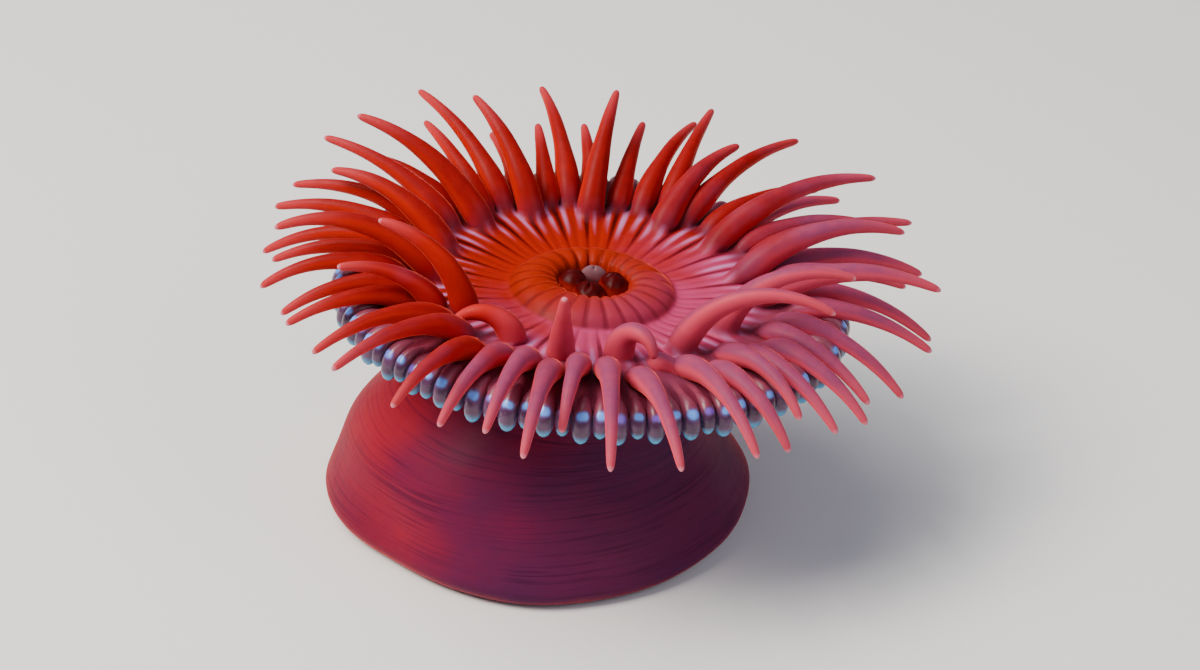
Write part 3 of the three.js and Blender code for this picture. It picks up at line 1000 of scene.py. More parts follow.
    def _column(self, paint: Paint, maps: Maps) -> Any:
        """Crimson on the lit side to plum on the shaded side, painted light; uneven in patches, with
        fine darker lines and a paler foot rim.

        Args:
            paint: The material.
            maps: What varies over the skin.

        Returns:
            The colour.
        """
        wide = paint.noise(paint.scaled(maps.place, self.dim_scales), 1.0)
        # Painted light: crimson on the lit side, plum on the shaded side.
        lit = paint.mix(maps.shaded_side, self.column_lit_side, self.column_shaded_side)
        dim = paint.mix(maps.shaded_side, self.column_dim_lit_side, self.column_dim_shaded_side)
        colour = paint.mix((wide + (maps.lines - 0.5) * 0.3).step(0.3, 0.7), dim, lit)
        broken = paint.noise(maps.place, self.break_scale).step(0.35, 0.65)
        colour = paint.mix(maps.lines.step(0.49, 0.4) * broken * 0.45, colour, self.column_line)
        colour = paint.mix(maps.lines.step(0.55, 0.7) * 0.3, colour, lit)
        rim = (paint.number("height") / MM + (maps.patches - 0.5) * 1.2).step(*self.rim_heights)
        return paint.mix(rim * 0.5, colour, self.foot_rim)

    def _lips(self, paint: Paint, maps: Maps) -> Any:
        """Orange-red on the lit side to pink on the shaded side, painted light, with painted shade in the
        creases between the pleats and towards the outer edge, and more of the lit side's orange-red
        at the inner edge.

        Args:
            paint: The material.
            maps: What varies over the skin.

        Returns:
            The colour.
        """
        stray = maps.angle.wave(PLEAT_STRAY_WAVES, PLEAT_STRAY_AZIMUTH) * (PLEAT_STRAY / PLEATS)
        folds = (maps.angle + stray).crest(PLEATS, 0.0)
        # Painted light: orange-red on the lit side, pink on the shaded side.
        lips = paint.mix(maps.shaded_side.step(0.12, 0.75), self.lip_lit_side, self.lip_shaded_side)
        # Painted shade in the creases between the pleats, and towards the lips' outer edge.
        crease = paint.mix(maps.shaded_side, self.crease_shade_lit_side, self.crease_shade_shaded_side)
        crease_shade_mask = (folds + (maps.patches - 0.5) * 0.4).step(0.4, 0.0) * (maps.patches * 1.2 - 0.05)
        lips = paint.mix(crease_shade_mask, lips, crease)
        lips = paint.mix(maps.radius.step(6.6, 7.9) * 0.25, lips, crease)
        return paint.mix(maps.radius.step(*self.throat_radii) * 0.6, lips, self.lip_lit_side)

    def _disc(self, paint: Paint, maps: Maps) -> Any:
        """Ribs that turn from orange-red to pale streaks between dark grooves, round the lips. The disc
        is orange-red on the lit side and pink on the shaded side, painted light, and painted shade
        darkens it between the tentacle roots.

        Args:
            paint: The material.
            maps: What varies over the skin.

        Returns:
            The colour.
        """
        radius, patches = maps.radius, maps.patches - 0.5
        x, y, _ = paint.parts(maps.place)
        spread = paint.noise(paint.vector(x / radius, y / radius, 0.0), self.spread_scale, 1.0) - 0.5
        crest = maps.angle.crest(RIBS, FIRST_AZIMUTH)
        paired = maps.angle.crest(RIBS // 2, FIRST_AZIMUTH + 180.0 / RIBS)
        # Painted light: orange-red on the lit side, pink on the shaded side, and the grooves likewise.
        disc = paint.mix(maps.shaded_side.step(0.0, 0.6), self.disc_lit_side, self.disc_shaded_side)
        groove = paint.mix(maps.shaded_side, self.groove_lit_side, self.groove_shaded_side)
        depth = (crest + patches * 0.4).step(0.5, 0.0) * (0.35 + radius.step(8.0, 12.5) * 0.65)
        disc = paint.mix(depth * (0.25 + paired * 0.75) * (0.8 + maps.lit_side * 0.2), disc, groove)
        outer = (radius + spread * 9.0 + patches * 2.0).step(*self.streak_radii)
        pale = (crest - paired * 0.3 + patches * 0.5).step(0.3, 1.0) * outer
        disc = paint.mix(pale * 0.88, disc, self.streak)
        # Painted shade between the tentacle roots.
        plain = (radius + patches * 2.0).step(*self.gap_shade_radii) * 0.85
        disc = paint.mix(plain, disc, paint.mix(maps.shaded_side, self.gap_shade_lit_side, self.gap_shade_shaded_side))
        return paint.mix(radius.step(*self.lip_radii), disc, self._lips(paint, maps))

    def _margin(self, paint: Paint, maps: Maps) -> Any:
        """Painted shade between the tentacles, and at the edge a paler rib to every bead, which shows
        more on the shaded side.

        Args:
            paint: The material.
            maps: What varies over the skin.

        Returns:
            The colour.
        """
        crest = maps.angle.crest(BEADS, FIRST_BEAD_AZIMUTH) + (maps.patches - 0.5) * 0.5
        # Painted shade between the tentacles.
        plain = paint.mix(maps.shaded_side, self.gap_shade_lit_side, self.gap_shade_shaded_side)
        edge = paint.mix(crest.step(0.2, 0.9), self.margin, self.margin_rib)
        return paint.mix(maps.radius.step(*self.edge_radii) * (0.35 + maps.shaded_side * 0.65), plain, edge)

    def _tentacle(self, paint: Paint, maps: Maps) -> Any:
        """Mauve painted shade at the root; orange-red on the lit side or pink on the shaded side above,
        painted light; a painted orange-red glow under the root on the lit side; a dim mauve stripe
        down the upper side, painted shade beside brighter flanks; a pink end and a pale cap.

        Args:
            paint: The material.
            maps: What varies over the skin.

        Returns:
            The colour.
        """
        share, spine = paint.number("share"), paint.number("spine")
        # Painted light: 1 on the lit side, a little uneven from limb to limb.
        lit_side = (maps.lit_side + (paint.number("tint") - 0.5) * 0.5).step(0.15, 0.85)
        body = paint.mix(lit_side, self.shaded_side_salmon, self.lit_side_coral)
        # Painted light: an orange-red glow under the root, mostly on the lit side.
        below = spine.step(0.2, -0.8) * share.step(0.0, 0.2)
        body = paint.mix(below * (0.04 + lit_side * 0.8), body, self.under)
        # Painted shade: a dim mauve stripe down the upper side, beside brighter flanks.
        reached = (spine + (1.0 - lit_side) * 0.2 + (maps.patches - 0.5) * 0.4).step(0.2, 0.85)
        core_shade = reached * share.step(1.2, 0.7) * (maps.fine * 0.8 + 0.6) * (0.9 - lit_side * 0.2)
        body = paint.mix(core_shade, body, paint.mix(lit_side, self.core_shade, self.lit_side_core_shade))
        body = paint.mix(share.step(0.6, 1.0) * 0.5, body, self.tip)
        # Painted shade at the root, where it meets the disc.
        body = paint.mix((share + (maps.fine - 0.5) * 0.08).step(0.24, 0.04) * 0.8, body, self.root)
        return paint.mix(share.step(0.97, 0.995) * 0.8, body, self.cap)


@dataclass(frozen=True)
class Glaze:
    """The beads' finish: dark glassy flesh with a painted bright blue highlight and a cyan lower edge."""

    # Painted highlight colours, and the painted glow round the highlight.
    joint: Colour = srgb(104, 164, 255)
    violet_highlight: Colour = srgb(122, 84, 196)
    highlight_halo: Colour = srgb(104, 88, 142)
    middle: Colour = srgb(72, 40, 70)
    veil: Colour = srgb(106, 62, 98)
    glass: Colour = srgb(84, 104, 138)
    rib: Colour = srgb(124, 50, 72)
    foot: Colour = srgb(50, 146, 190)
    cloud_scale: float = 700.0
    # Where along a bead the painted highlight lies.
    highlight_share: float = 0.61

    def dress(self, piece: bpy.types.Object) -> None:
        """Gives a piece this finish.

        The painted highlight is an oval on each bead's outward side, with a painted glow round it: the
        squares of how far a place is from it along the bead and round the bead are added up.

        Args:
            piece: The beads.
        """
        paint = Paint("glassy_beads")
        along, outward, tint = paint.number("along"), paint.number("outward"), paint.number("tint")
        cloud = paint.noise(paint.place("rest"), self.cloud_scale)
        uneven_cloud = cloud - 0.5
        middle = paint.mix(cloud.step(0.35, 0.7) * 0.6, self.middle, self.veil)
        middle = paint.mix(outward.step(0.55, 0.1) * 0.5, middle, self.glass)
        middle = paint.mix(along.step(0.68, 0.5), middle, self.rib)
        foot = (along + uneven_cloud * 0.06).step(0.85, 0.96) * outward.step(-0.7, 0.2)
        lower = paint.mix(foot, middle, self.foot)
        # Painted highlight: an oval on the outward side, with a painted glow round it.
        apart = (along - self.highlight_share - uneven_cloud * 0.08) * (12.0 + tint * 6.0)
        edge = 1.0 - outward + uneven_cloud * 0.2
        highlight_nearness = apart * apart + edge * edge * 14.0
        highlight_haloed = paint.mix(highlight_nearness.step(2.2, 0.5) * 0.7, lower, self.highlight_halo)
        joint = paint.mix(tint.step(0.62, 0.7), self.joint, self.violet_highlight)
        paint.finish(
            piece,
            Base_Color=paint.mix(highlight_nearness.step(1.1, 0.05), highlight_haloed, joint),
            Roughness=0.28 + uneven_cloud * 0.1 + along.step(0.62, 0.45) * 0.18,
            Normal=paint.bump(cloud, 0.00005),
            IOR=1.4,
            Subsurface_Weight=0.15,
            Subsurface_Radius=(0.4, 0.5, 1.0),
            Subsurface_Scale=0.0005,
            Coat_Weight=0.25,
            Coat_Roughness=0.12,
        )


@dataclass(frozen=True)
class Lining:
    """The throat's finish: wet red, very dark as painted shade on the lobes' tops and painted as lit
    orange-red on their sides, with one greyish fold.
    """

    # Painted shade on the lobes' tops, and painted light on their sides.
    top_shade: Colour = srgb(66, 2, 4)
    lit: Colour = srgb(150, 22, 0)
    membrane: Colour = srgb(124, 84, 92)
    cloud_scale: float = 500.0

    def dress(self, piece: bpy.types.Object) -> None:
        """Gives a piece this finish.

        Args:
            piece: The throat's lobes.
        """
        paint = Paint("throat_lining")
        cloud = paint.noise(paint.place("rest"), self.cloud_scale, 3.0)
        # Painted light: dark shade on each lobe's top, lit orange-red on its sides.
        lit_rim = (paint.number("lit_rim") + (cloud - 0.5) * 0.3).step(0.55, 1.0)
        paint.finish(
            piece,
            Base_Color=paint.mix(
                paint.number("pale") * 0.8, paint.mix(lit_rim, self.top_shade, self.lit), self.membrane
            ),
            Roughness=0.42 + (cloud - 0.5) * 0.15,
            Normal=paint.bump(cloud, 0.00003),
            IOR=1.34,
            Specular_IOR_Level=0.1,
            Subsurface_Weight=0.1,
            Subsurface_Radius=(1.0, 0.15, 0.1),
            Subsurface_Scale=0.0004,
            Coat_Weight=0.03,
            Coat_Roughness=0.08,
        )


@dataclass(frozen=True)
class Backing:
    """The studio floor's finish: a plain pale matt grey."""

    colour: Colour = (0.82, 0.81, 0.79, 1.0)
    roughness: float = 0.8

    def dress(self, piece: bpy.types.Object) -> None:
        """Gives the floor this finish."""
        Paint("pale_floor").finish(piece, Base_Color=self.colour, Roughness=self.roughness)


# ---------------------------------------------------------------- the skin


@dataclass
class Skin:
    """One closed skin: mouth, lips, disc, tentacles, margin, collar, column and foot.

    Its cage is a sheet of rows, from the middle of the mouth outwards, down and under to the middle
    of the foot. A block of the sheet is opened under each tentacle, and the tentacle's sleeve is
    sewn to the opening's edge. The outlines from mouth to under, which is the collar's underside,
    list a radius and a crown height for each row. The foot lists a radius and a height for each,
    and body_outline a height and a radius at a few places.
    """

    stance: Stance
    tentacles: Tentacles
    mouth: Outline = ((1.0, 0.3), (2.2, 0.3), (3.1, 0.35), (3.35, 0.65), (3.42, 1.15), (3.55, 1.65))
    lips: Outline = (
        (3.85, 2.0), (4.4, 2.26), (5.1, 2.36), (5.9, 2.3), (6.6, 2.12), (7.15, 1.86), (7.55, 1.56),
        (7.8, 1.28),
    )
    disc: Outline = ((8.15, 1.1), (8.8, 1.14), (9.6, 1.24), (10.5, 1.36), (11.4, 1.48), (12.3, 1.62))
    zone: Outline = (
        (13.4, 1.75), (14.6, CROWN_TOP), (15.6, CROWN_TOP), (16.5, CROWN_TOP), (17.5, CROWN_TOP),
        (18.5, CROWN_TOP),
    )
    margin: Outline = (
        (19.4, 1.84), (20.3, 1.84), (21.2, 1.82), (22.0, 1.78), (22.7, 1.68), (23.15, 1.45),
        (23.3, 1.1), (23.15, 0.7),
    )
    under: Outline = ((22.7, 0.3), (21.9, -0.1), (20.8, -0.65), (19.7, -1.3), (18.7, -2.0), (18.0, -2.6))
    body_outline: Outline = (
        (2.0, 20.9), (3.2, 20.3), (5.0, 19.3), (7.5, 17.9), (10.0, 16.4), (12.5, 15.0), (15.0, 13.7),
        (16.6, 13.3), (17.6, 14.2), (18.4, 16.2), (18.8, 17.6),
    )
    column_heights: tuple[float, ...] = (
        18.7, 18.3, 17.85, 17.3, 16.6, 15.8, 14.9, 13.9, 12.9, 11.9, 10.9, 9.9, 8.9, 7.9, 6.9, 5.9,
        5.0, 4.2, 3.4, 2.7,
    )
    foot: Outline = (
        (20.9, 2.0), (20.95, 1.45), (20.75, 0.85), (20.25, 0.32), (19.3, 0.03), (18.2, 0.0), (14.0, 0.0),
        (8.0, 0.0), (3.0, 0.0),
    )
    plain_mouth_rows: int = 3  # the pleats start after them
    inset_lip_rows: int = 2  # the pleats narrow the mouth up to them
    pleat_depth: float = 0.14
    pleat_inset: float = 0.14
    pleat_fade: tuple[float, float] = (0.25, math.pi * 0.98)
    mouth_shift: float = 0.8
    mouth_shift_radii: tuple[float, float] = (7.6, 4.0)
    rib_heights: tuple[float, float] = (0.096, 0.208)
    small_rib: float = 0.8
    rib_overhang: float = 0.14
    rib_edge_rows: int = 4
    waver: tuple[tuple[float, float, float], ...] = (
        (0.13, 3.0, 0.7), (0.09, 5.0, -1.1), (0.05, 11.0, 0.0),
    )
    slow_waver: float = 0.1
    waver_inset: float = 0.12
    waver_heights: tuple[float, float] = (18.5, 14.0)
    settled_rows: tuple[int, int] = (2, 3)  # before the tentacles' zone and after it
    settling_rounds: int = 260
    levelled_margin_rows: int = 4  # whose heights the zone's points may take too
    edge_limb_share: float = 0.35  # of the tentacles' colour, at an opening's edge

    def _rows(self) -> tuple[Array, Array, dict[str, slice]]:
        """The sheet's rows before they are pleated or waver.

        Returns:
            The radius and the upright height of each row, and which rows each region has.
        """
        heights, radii = zip(*self.body_outline)
        column = [(float(np.interp(z, heights, radii)), z - CROWN_HEIGHT) for z in self.column_heights]
        foot = [(radius, z - CROWN_HEIGHT) for radius, z in self.foot]
        regions = {"mouth": self.mouth, "lips": self.lips, "disc": self.disc, "zone": self.zone,
                   "margin": self.margin, "under": self.under, "column": column, "foot": foot}
        rows: list[tuple[float, float]] = []
        spans = {}
        for name, points in regions.items():
            spans[name] = slice(len(rows), len(rows) + len(points))
            rows.extend(points)
        table = np.array(rows)
        return table[:, 0], table[:, 1] + CROWN_HEIGHT, spans

    def _pleat(self, radius: Array, height: Array, turn: Array, spans: dict[str, slice]) -> None:
        """Folds the lips: round pleats with narrow creases, uneven in strength.

        A fold is twice the root of |cos| of half the pleats' phase, less 1.4, times a slow sine of
        the azimuth about 0.8. It fades in and out over the rows as half a sine.

        Args:
            radius: The radius of each point of the sheet, changed in place.
            height: The upright height of each, changed in place.
            turn: The azimuth of each column, in radians.
            spans: Which rows each region has.
        """
        stray = np.cos(PLEAT_STRAY_WAVES * (turn - math.radians(PLEAT_STRAY_AZIMUTH)))
        phase = PLEATS * turn + PLEAT_STRAY * stray
        strength = 0.8 + 0.35 * np.sin(4.0 * turn + 1.0)
        fold = (np.sqrt(np.abs(np.cos(phase / 2.0))) * 2.0 - 1.4) * strength
        start = spans["mouth"].start + self.plain_mouth_rows
        rows = slice(start, spans["lips"].stop)
        fade = np.sin(np.linspace(*self.pleat_fade, rows.stop - rows.start))[:, None]
        height[rows] += self.pleat_depth * fade * fold
        radius[start : spans["lips"].start + self.inset_lip_rows] -= self.pleat_inset * fold

    def _rib(self, radius: Array, height: Array, spans: dict[str, slice]) -> None:
        """Raises a rib of the margin to each bead, large and small by turns, more towards the edge.

        Args:
            radius: The radius of each point of the sheet, changed in place.
            height: The upright height of each, changed in place.
            spans: Which rows each region has.
        """
        column = np.arange(COLUMNS)
        ribs = np.where(column % 2 == 1, 1.0, -1.0) * np.where(column % 4 == 1, 1.0, self.small_rib)
        margin = spans["margin"]
        height[margin] += np.linspace(*self.rib_heights, margin.stop - margin.start)[:, None] * ribs
        radius[margin.stop - self.rib_edge_rows : margin.stop + 1] += self.rib_overhang * ribs

    def _sheet(self) -> tuple[Array, dict[str, slice]]:
        """The sheet's points, with pleats, ribs, a mouth moved back, and a body wavering by slow sines.

        Returns:
            The points, shaped (rows, columns, 3), and which rows each region has.
        """
        radii, heights, spans = self._rows()
        turn = math.radians(FIRST_AZIMUTH) + around(COLUMNS)
        radius = np.repeat(radii[:, None], COLUMNS, axis=1)
        height = np.repeat(heights[:, None], COLUMNS, axis=1)
        self._pleat(radius, height, turn, spans)
        self._rib(radius, height, spans)
        body = slice(spans["under"].stop, len(radii))
        share = smooth(heights[body], *self.waver_heights)[:, None]
        waver = sum(depth * np.sin(waves * turn + phase) for depth, waves, phase in self.waver)
        slow = self.slow_waver * np.sin(4.0 * turn + heights[body][:, None] * 0.5)
        radius[body] += share * (waver + slow - self.waver_inset)
        outward, _ = level_axes(turn)
        points = radius[..., None] * outward + height[..., None] * UP
        points[..., 1] += self.mouth_shift * smooth(radius, *self.mouth_shift_radii)
        return points, spans

    def _opening(self, limb: Limb, zone_start: int) -> tuple[tuple[Array, Array], tuple[Array, Array]]:
        """The opening under a limb: three rows of points, from which the faces are left out.

        Args:
            limb: The tentacle.
            zone_start: The first row of the tentacles' zone.

        Returns:
            The rows and columns of the opening's edge, in step with the limb's sides, and the
            rows and columns of its faces.
        """
        half = limb.ring.half_columns
        middle = np.array([zone_start + limb.row, limb.number * COLUMNS // limb.ring.count])
        outside = [(1, step) for step in range(half + 1)]
        inside = [(-1, step) for step in range(half, -half - 1, -1)]
        outside_again = [(1, step) for step in range(-half, 0)]
        edge = middle + np.array([*outside, (0, half), *inside, (0, -half), *outside_again])
        cells = middle + np.array([(row, step) for row in (-1, 0) for step in range(-half, half)])
        return (edge[:, 0], edge[:, 1] % COLUMNS), (cells[:, 0], cells[:, 1] % COLUMNS)

    def _relaxed(self, points: Array, fixed: Array, rows: slice) -> Array:
        """Lets the free points of some rows settle, each to the mean of its four neighbours.

        Args:
            points: The sheet's points.
            fixed: True at the points that stay.
            rows: The rows that may move.

        Returns:
            The settled points.
        """
        block = points[rows.start - 1 : rows.stop + 1].copy()
        held = fixed[rows][..., None]
        for _ in range(self.settling_rounds):
            inner = block[1:-1]
            mean = (block[:-2] + block[2:] + np.roll(inner, 1, axis=1) + np.roll(inner, -1, axis=1)) / 4.0
            block[1:-1] = np.where(held, inner, mean)
        result = points.copy()
        result[rows] = block[1:-1]
        return result

    def _opened(self, limbs: list[Limb]) -> tuple[Surface, list[Array], int]:
        """The sheet, opened under each limb and settled about the openings, with its values.

        Args:
            limbs: The tentacles.

        Returns:
            The upright sheet, the numbers of the points along each opening's edge, and the number
            of the first point of the body.
        """
        points, spans = self._sheet()
        number = np.arange(points[..., 0].size).reshape(points.shape[:2])
        zone = spans["zone"]
        fixed = np.zeros(number.shape, dtype=bool)
        closed = np.ones((number.shape[0] - 1, COLUMNS), dtype=bool)
        on_limb, tint = np.zeros(number.shape), np.full(number.shape, 0.5)
        edges = []
        for limb in limbs:
            edge, cells = self._opening(limb, zone.start)
            points[edge + (slice(2),)] = limb.rim()[:, :2]
            fixed[edge] = True
            closed[cells] = False
            on_limb[edge] = self.edge_limb_share
            tint[edge] = limb.tint
            edges.append(number[edge])
        before, after = self.settled_rows
        settled = slice(zone.start - before, zone.stop + after)
        points[..., :2] = self._relaxed(points[..., :2], fixed, settled)
        radii, heights, _ = self._rows()
        known = slice(spans["disc"].start, spans["margin"].start + self.levelled_margin_rows)
        levelled = slice(zone.start - before, zone.stop)
        reach = np.linalg.norm(points[levelled, :, :2], axis=-1)
        points[levelled, :, 2] = np.interp(reach, radii[known], heights[known])
        fade = np.ones(len(number))
        fade[: spans["under"].start] = 0.0
        fade[spans["under"]] = np.linspace(0.0, 1.0, len(self.under))
        values = {
            "share": np.zeros(number.size),
            "limb": on_limb.ravel(),
            "tint": tint.ravel(),
            "spine": np.zeros(number.size),
            "column": np.repeat(fade, COLUMNS),
        }
        sheet = Surface(points.reshape(-1, 3), [grid_faces(number)[closed]], values)
        return sheet, edges, spans["column"].start * COLUMNS

    def _sleeve(self, limb: Limb, edge: Array, start: int) -> Surface:
        """A limb's sleeve, sewn to its opening's edge and closed at the tip, with its values.

        Args:
            limb: The tentacle.
            edge: The numbers of the points along the opening's edge.
            start: The number of the sleeve's first point in the whole skin.

        Returns:
            The upright sleeve, whose faces number the points of the whole skin.
        """
        rings, share, tip = limb.sleeve()
        count, sides, _ = rings.shape
        tube = np.concatenate([edge, start + np.arange(count * sides)]).reshape(-1, sides)
        values = {
            "share": np.append(np.repeat(share, sides), 1.0),
            "limb": np.ones(count * sides + 1),
            "tint": np.full(count * sides + 1, limb.tint),
            "spine": np.append(np.tile(-np.cos(around(sides)), count), 0.0),
            "column": np.zeros(count * sides + 1),
        }
        faces = [grid_faces(tube).reshape(-1, 4)[:, ::-1], fan_faces(tube[-1], start + count * sides)]
        return Surface(np.concatenate([rings.reshape(-1, 3), tip[None]]), faces, values)

    def _poles(self, count: int, start: int) -> Surface:
        """The middle points of the mouth and of the foot, which close the sheet.

        Args:
            count: How many points the sheet has.
            start: The number of the first pole in the whole skin.

        Returns:
            The two upright points, and the faces that join them to the sheet.
        """
        first, last = np.arange(COLUMNS), np.arange(count - COLUMNS, count)
        points = np.array([UP * (CROWN_HEIGHT + self.mouth[0][1]), UP * 0.0])
        values = {"share": np.zeros(2), "limb": np.zeros(2), "tint": np.full(2, 0.5),
                  "spine": np.zeros(2), "column": np.array([0.0, 1.0])}
        return Surface(points, [fan_faces(first, start), fan_faces(last[::-1], start + 1)], values)

    def surface(self) -> Surface:
        """The whole cage as one surface, leaned over, with the values that its finish reads.

        Returns:
            The surface.
        """
        limbs = self.tentacles.limbs()
        sheet, edges, body_start = self._opened(limbs)
        parts = [sheet]
        count = start = len(sheet.points)
        for limb, edge in zip(limbs, edges):
            parts.append(self._sleeve(limb, edge, start))
            start += len(parts[-1].points)
        parts.append(self._poles(count, start))
        whole = merged(parts)
        upright = whole.points
        on_body = np.zeros((len(upright), 1), dtype=bool)
        on_body[body_start:count] = True
        on_body[-1] = True
        whole.points = np.where(on_body, self.stance.body(upright), self.stance.crown(upright))
        whole.values["rest"] = upright * MM
        whole.values["reach"] = np.linalg.norm(upright[:, :2], axis=1) * MM
        whole.values["height"] = upright[:, 2] * MM
        return whole.kept()

    def build(self, nodes: list[str]) -> bpy.types.Object:
        """Makes the skin, which stands for the nodes of flesh.

        Args:
            nodes: The names of the nodes that it stands for.

        Returns:
            The skin's object.
        """
        piece = self.surface().put_in("skin")
        smoothing = piece.modifiers.new("smooth", "SUBSURF")
        smoothing.levels = 1
        smoothing.render_levels = 1
        Flesh().dress(piece)
        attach(piece, "root")
        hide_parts(*nodes)
        return piece


# ---------------------------------------------------------------- beads and throat


@dataclass
class Beads:
    """The drops that hang from the margin's edge, large and small by turns.

    The root, shoulder and bottom are each a reach from the axis and a crown height. A narrowing of
    (0.6, 0.1, 0.7) starts a drop at 0.6 of its width, and widens it between shares 0.1 and 0.7.
    """

    stance: Stance
    sides: int = 16
    rings: int = 15
    ring_shares: tuple[float, float] = (0.06, 0.94)
    root: tuple[float, float] = (20.6, 1.25)
    shoulder: tuple[float, float] = (24.0, 2.5)
    bottom: tuple[float, float] = (23.95, -1.45)
    large: float = 0.9
    small: float = 0.76
    width_unevenness: float = 0.06
    small_lift: float = 0.45
    lift_unevenness: float = 0.15
    bluntness: float = 5.0
    narrowing: tuple[float, float, float] = (0.6, 0.1, 0.7)

    def _middle_line(self) -> tuple[Array, Array, Array]:
        """A drop's middle line, the quadratic curve of its root, shoulder and bottom.

        Its shares are closer together near both ends, as a cosine is.

        Returns:
            The shares, and at each the place and the unit direction, as a reach and a height.
        """
        spaced = (1.0 - np.cos(np.pi * np.linspace(*self.ring_shares, self.rings))) / 2.0
        share = np.concatenate([[0.0], spaced, [1.0]])
        part, rest = share[:, None], 1.0 - share[:, None]
        root, shoulder, bottom = (np.array(point) for point in (self.root, self.shoulder, self.bottom))
        line = rest**2 * root + 2.0 * part * rest * shoulder + part**2 * bottom
        return share, line, unit(rest * (shoulder - root) + part * (bottom - shoulder))

    def surface(self) -> Surface:
        """All the drops, each a blunt rod bent over the margin's edge.

        A drop's half-width at a share t is w·sqrt(1 - |2t - 1|^bluntness), less at the root. A small
        drop's bottom is lifted, by the square of the share.

        Returns:
            The surface of all the drops.
        """
        number = np.arange(BEADS)
        big = number % 2 == 0
        width = np.where(big, self.large, self.small) * (1.0 + self.width_unevenness * uneven(number, 3))
        lift = np.where(big, 0.0, self.small_lift) + self.lift_unevenness * uneven(number, 5)
        share, line, ahead = self._middle_line()
        outward, sideways = level_axes(math.radians(FIRST_BEAD_AZIMUTH) + around(BEADS))
        height = line[:, 1] + share**2 * lift[:, None]
        middle = line[:, :1] * outward[:, None] + height[..., None] * UP
        across = ahead[1:-1, :1] * UP - ahead[1:-1, 1:] * outward[:, None]
        along = share[1:-1]
        least, low, high = self.narrowing
        round_ends = np.sqrt(1.0 - np.abs(2.0 * along - 1.0) ** self.bluntness)
        size = width[:, None] * round_ends * (least + (1.0 - least) * smooth(along, low, high))
        turn = around(self.sides)[:, None]
        spokes = np.cos(turn) * across[:, :, None] + np.sin(turn) * sideways[:, None, None]
        rings = middle[:, 1:-1, None] + size[..., None, None] * spokes
        drops = np.concatenate([rings.reshape(BEADS, -1, 3), middle[:, [0, -1]]], axis=1)
        per_drop = drops.shape[1]
        starts = (number * per_drop)[:, None, None]
        one_drop = capsule_faces(self.rings, self.sides)
        faces = [(block + starts).reshape(-1, block.shape[1]) for block in one_drop]
        upright = drops.reshape(-1, 3) + UP * CROWN_HEIGHT
        facing = np.append(np.tile(np.cos(turn[:, 0]), self.rings), [0.0, 0.0])
        values = {
            "rest": upright * MM,
            "along": np.tile(np.append(np.repeat(along, self.sides), [0.0, 1.0]), BEADS),
            "outward": np.tile(facing, BEADS),
            "tint": np.repeat(0.5 + 0.5 * uneven(number, 4), per_drop),
        }
        return Surface(self.stance.crown(upright), faces, values)

    def build(self) -> bpy.types.Object:
        """Makes the beads as one piece.

        Returns:
            The beads' object.
        """
        piece = self.surface().put_in("beads")
        Glaze().dress(piece)
        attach(piece, "root")
        return piece


@dataclass(frozen=True)
class Lobe:
    """One fold of the throat: where it lies and how large it is."""

    azimuth: float
    reach: float
    width: float
    depth: float
    height: float
    pale: float = 0.0


@dataclass
class Throat:
    """The folded lobes that fill the mouth."""

    stance: Stance
    level: float = 0.8
    shift: float = 0.8
    lobes: tuple[Lobe, ...] = (
        Lobe(168.0, 1.95, 1.45, 1.65, 1.6),
        Lobe(10.0, 2.0, 1.4, 1.65, 1.6),
        Lobe(-104.0, 1.5, 1.5, 1.55, 1.4),
        Lobe(88.0, 2.5, 0.7, 1.3, 1.2, pale=1.0),
    )
    rings: int = 20
    sides: int = 32
    first_polar: float = 0.06
    dimple: float = 0.8
    folds: tuple[float, float] = (0.07, 0.02)
    crease_depth: float = 0.22
    crease_width: float = 0.3
    crease_length: float = 0.9

    def _lobe(self, lobe: Lobe) -> Surface:
        """A closed pad: a sphere squashed to the lobe's size, folded by sines round its middle.

        A crease crosses its top: a bell of how far a place is from the lobe's own X axis, times a
        bell of its polar angle.

        Args:
            lobe: Where the pad lies and how large it is.

        Returns:
            The pad's surface.
        """
        polar = np.linspace(self.first_polar, math.pi - self.first_polar, self.rings)[:, None]
        turn = around(self.sides)
        wide, narrow = self.folds
        fold = 1.0 + (wide * np.sin(3.0 * turn + 1.0) + narrow * np.sin(9.0 * turn)) * np.sin(polar)
        across_top = np.exp(-((np.sin(turn) / self.crease_width) ** 2))
        crease = 1.0 - self.crease_depth * across_top * np.exp(-((polar / self.crease_length) ** 2))
        x = np.sin(polar) * np.cos(turn) * lobe.width * fold
        y = np.sin(polar) * np.sin(turn) * lobe.depth * fold
        z = np.cos(polar) * lobe.height * crease
        ends = np.array([UP * lobe.height * self.dimple, -UP * lobe.height])
        pad = np.concatenate([np.stack([x, y, z], axis=-1).reshape(-1, 3), ends])
        outward, sideways = level_axes(math.radians(lobe.azimuth))
        upright = (pad[:, :1] + lobe.reach) * outward + pad[:, 1:2] * sideways + pad[:, 2:] * UP
        upright += (0.0, self.shift, self.level + CROWN_HEIGHT)
        # How far down its side a place lies: the lining paints shade on the top and light on the sides.
        lit_rim = np.repeat(polar / math.pi * 2.0, self.sides)
        values = {
            "rest": upright * MM,
            "lit_rim": np.append(lit_rim, [0.0, 2.0]),
            "pale": np.full(len(upright), lobe.pale),
        }
        return Surface(self.stance.crown(upright), capsule_faces(self.rings, self.sides), values)

    def build(self) -> bpy.types.Object:
        """Makes the lobes as one piece, which stands for the throat's node.

        Returns:
            The lobes' object.
        """
        piece = joined([self._lobe(lobe) for lobe in self.lobes]).put_in("throat_lobes")
        Lining().dress(piece)
        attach(piece, "root")
        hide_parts("throat")
        return piece


# ---------------------------------------------------------------- the studio


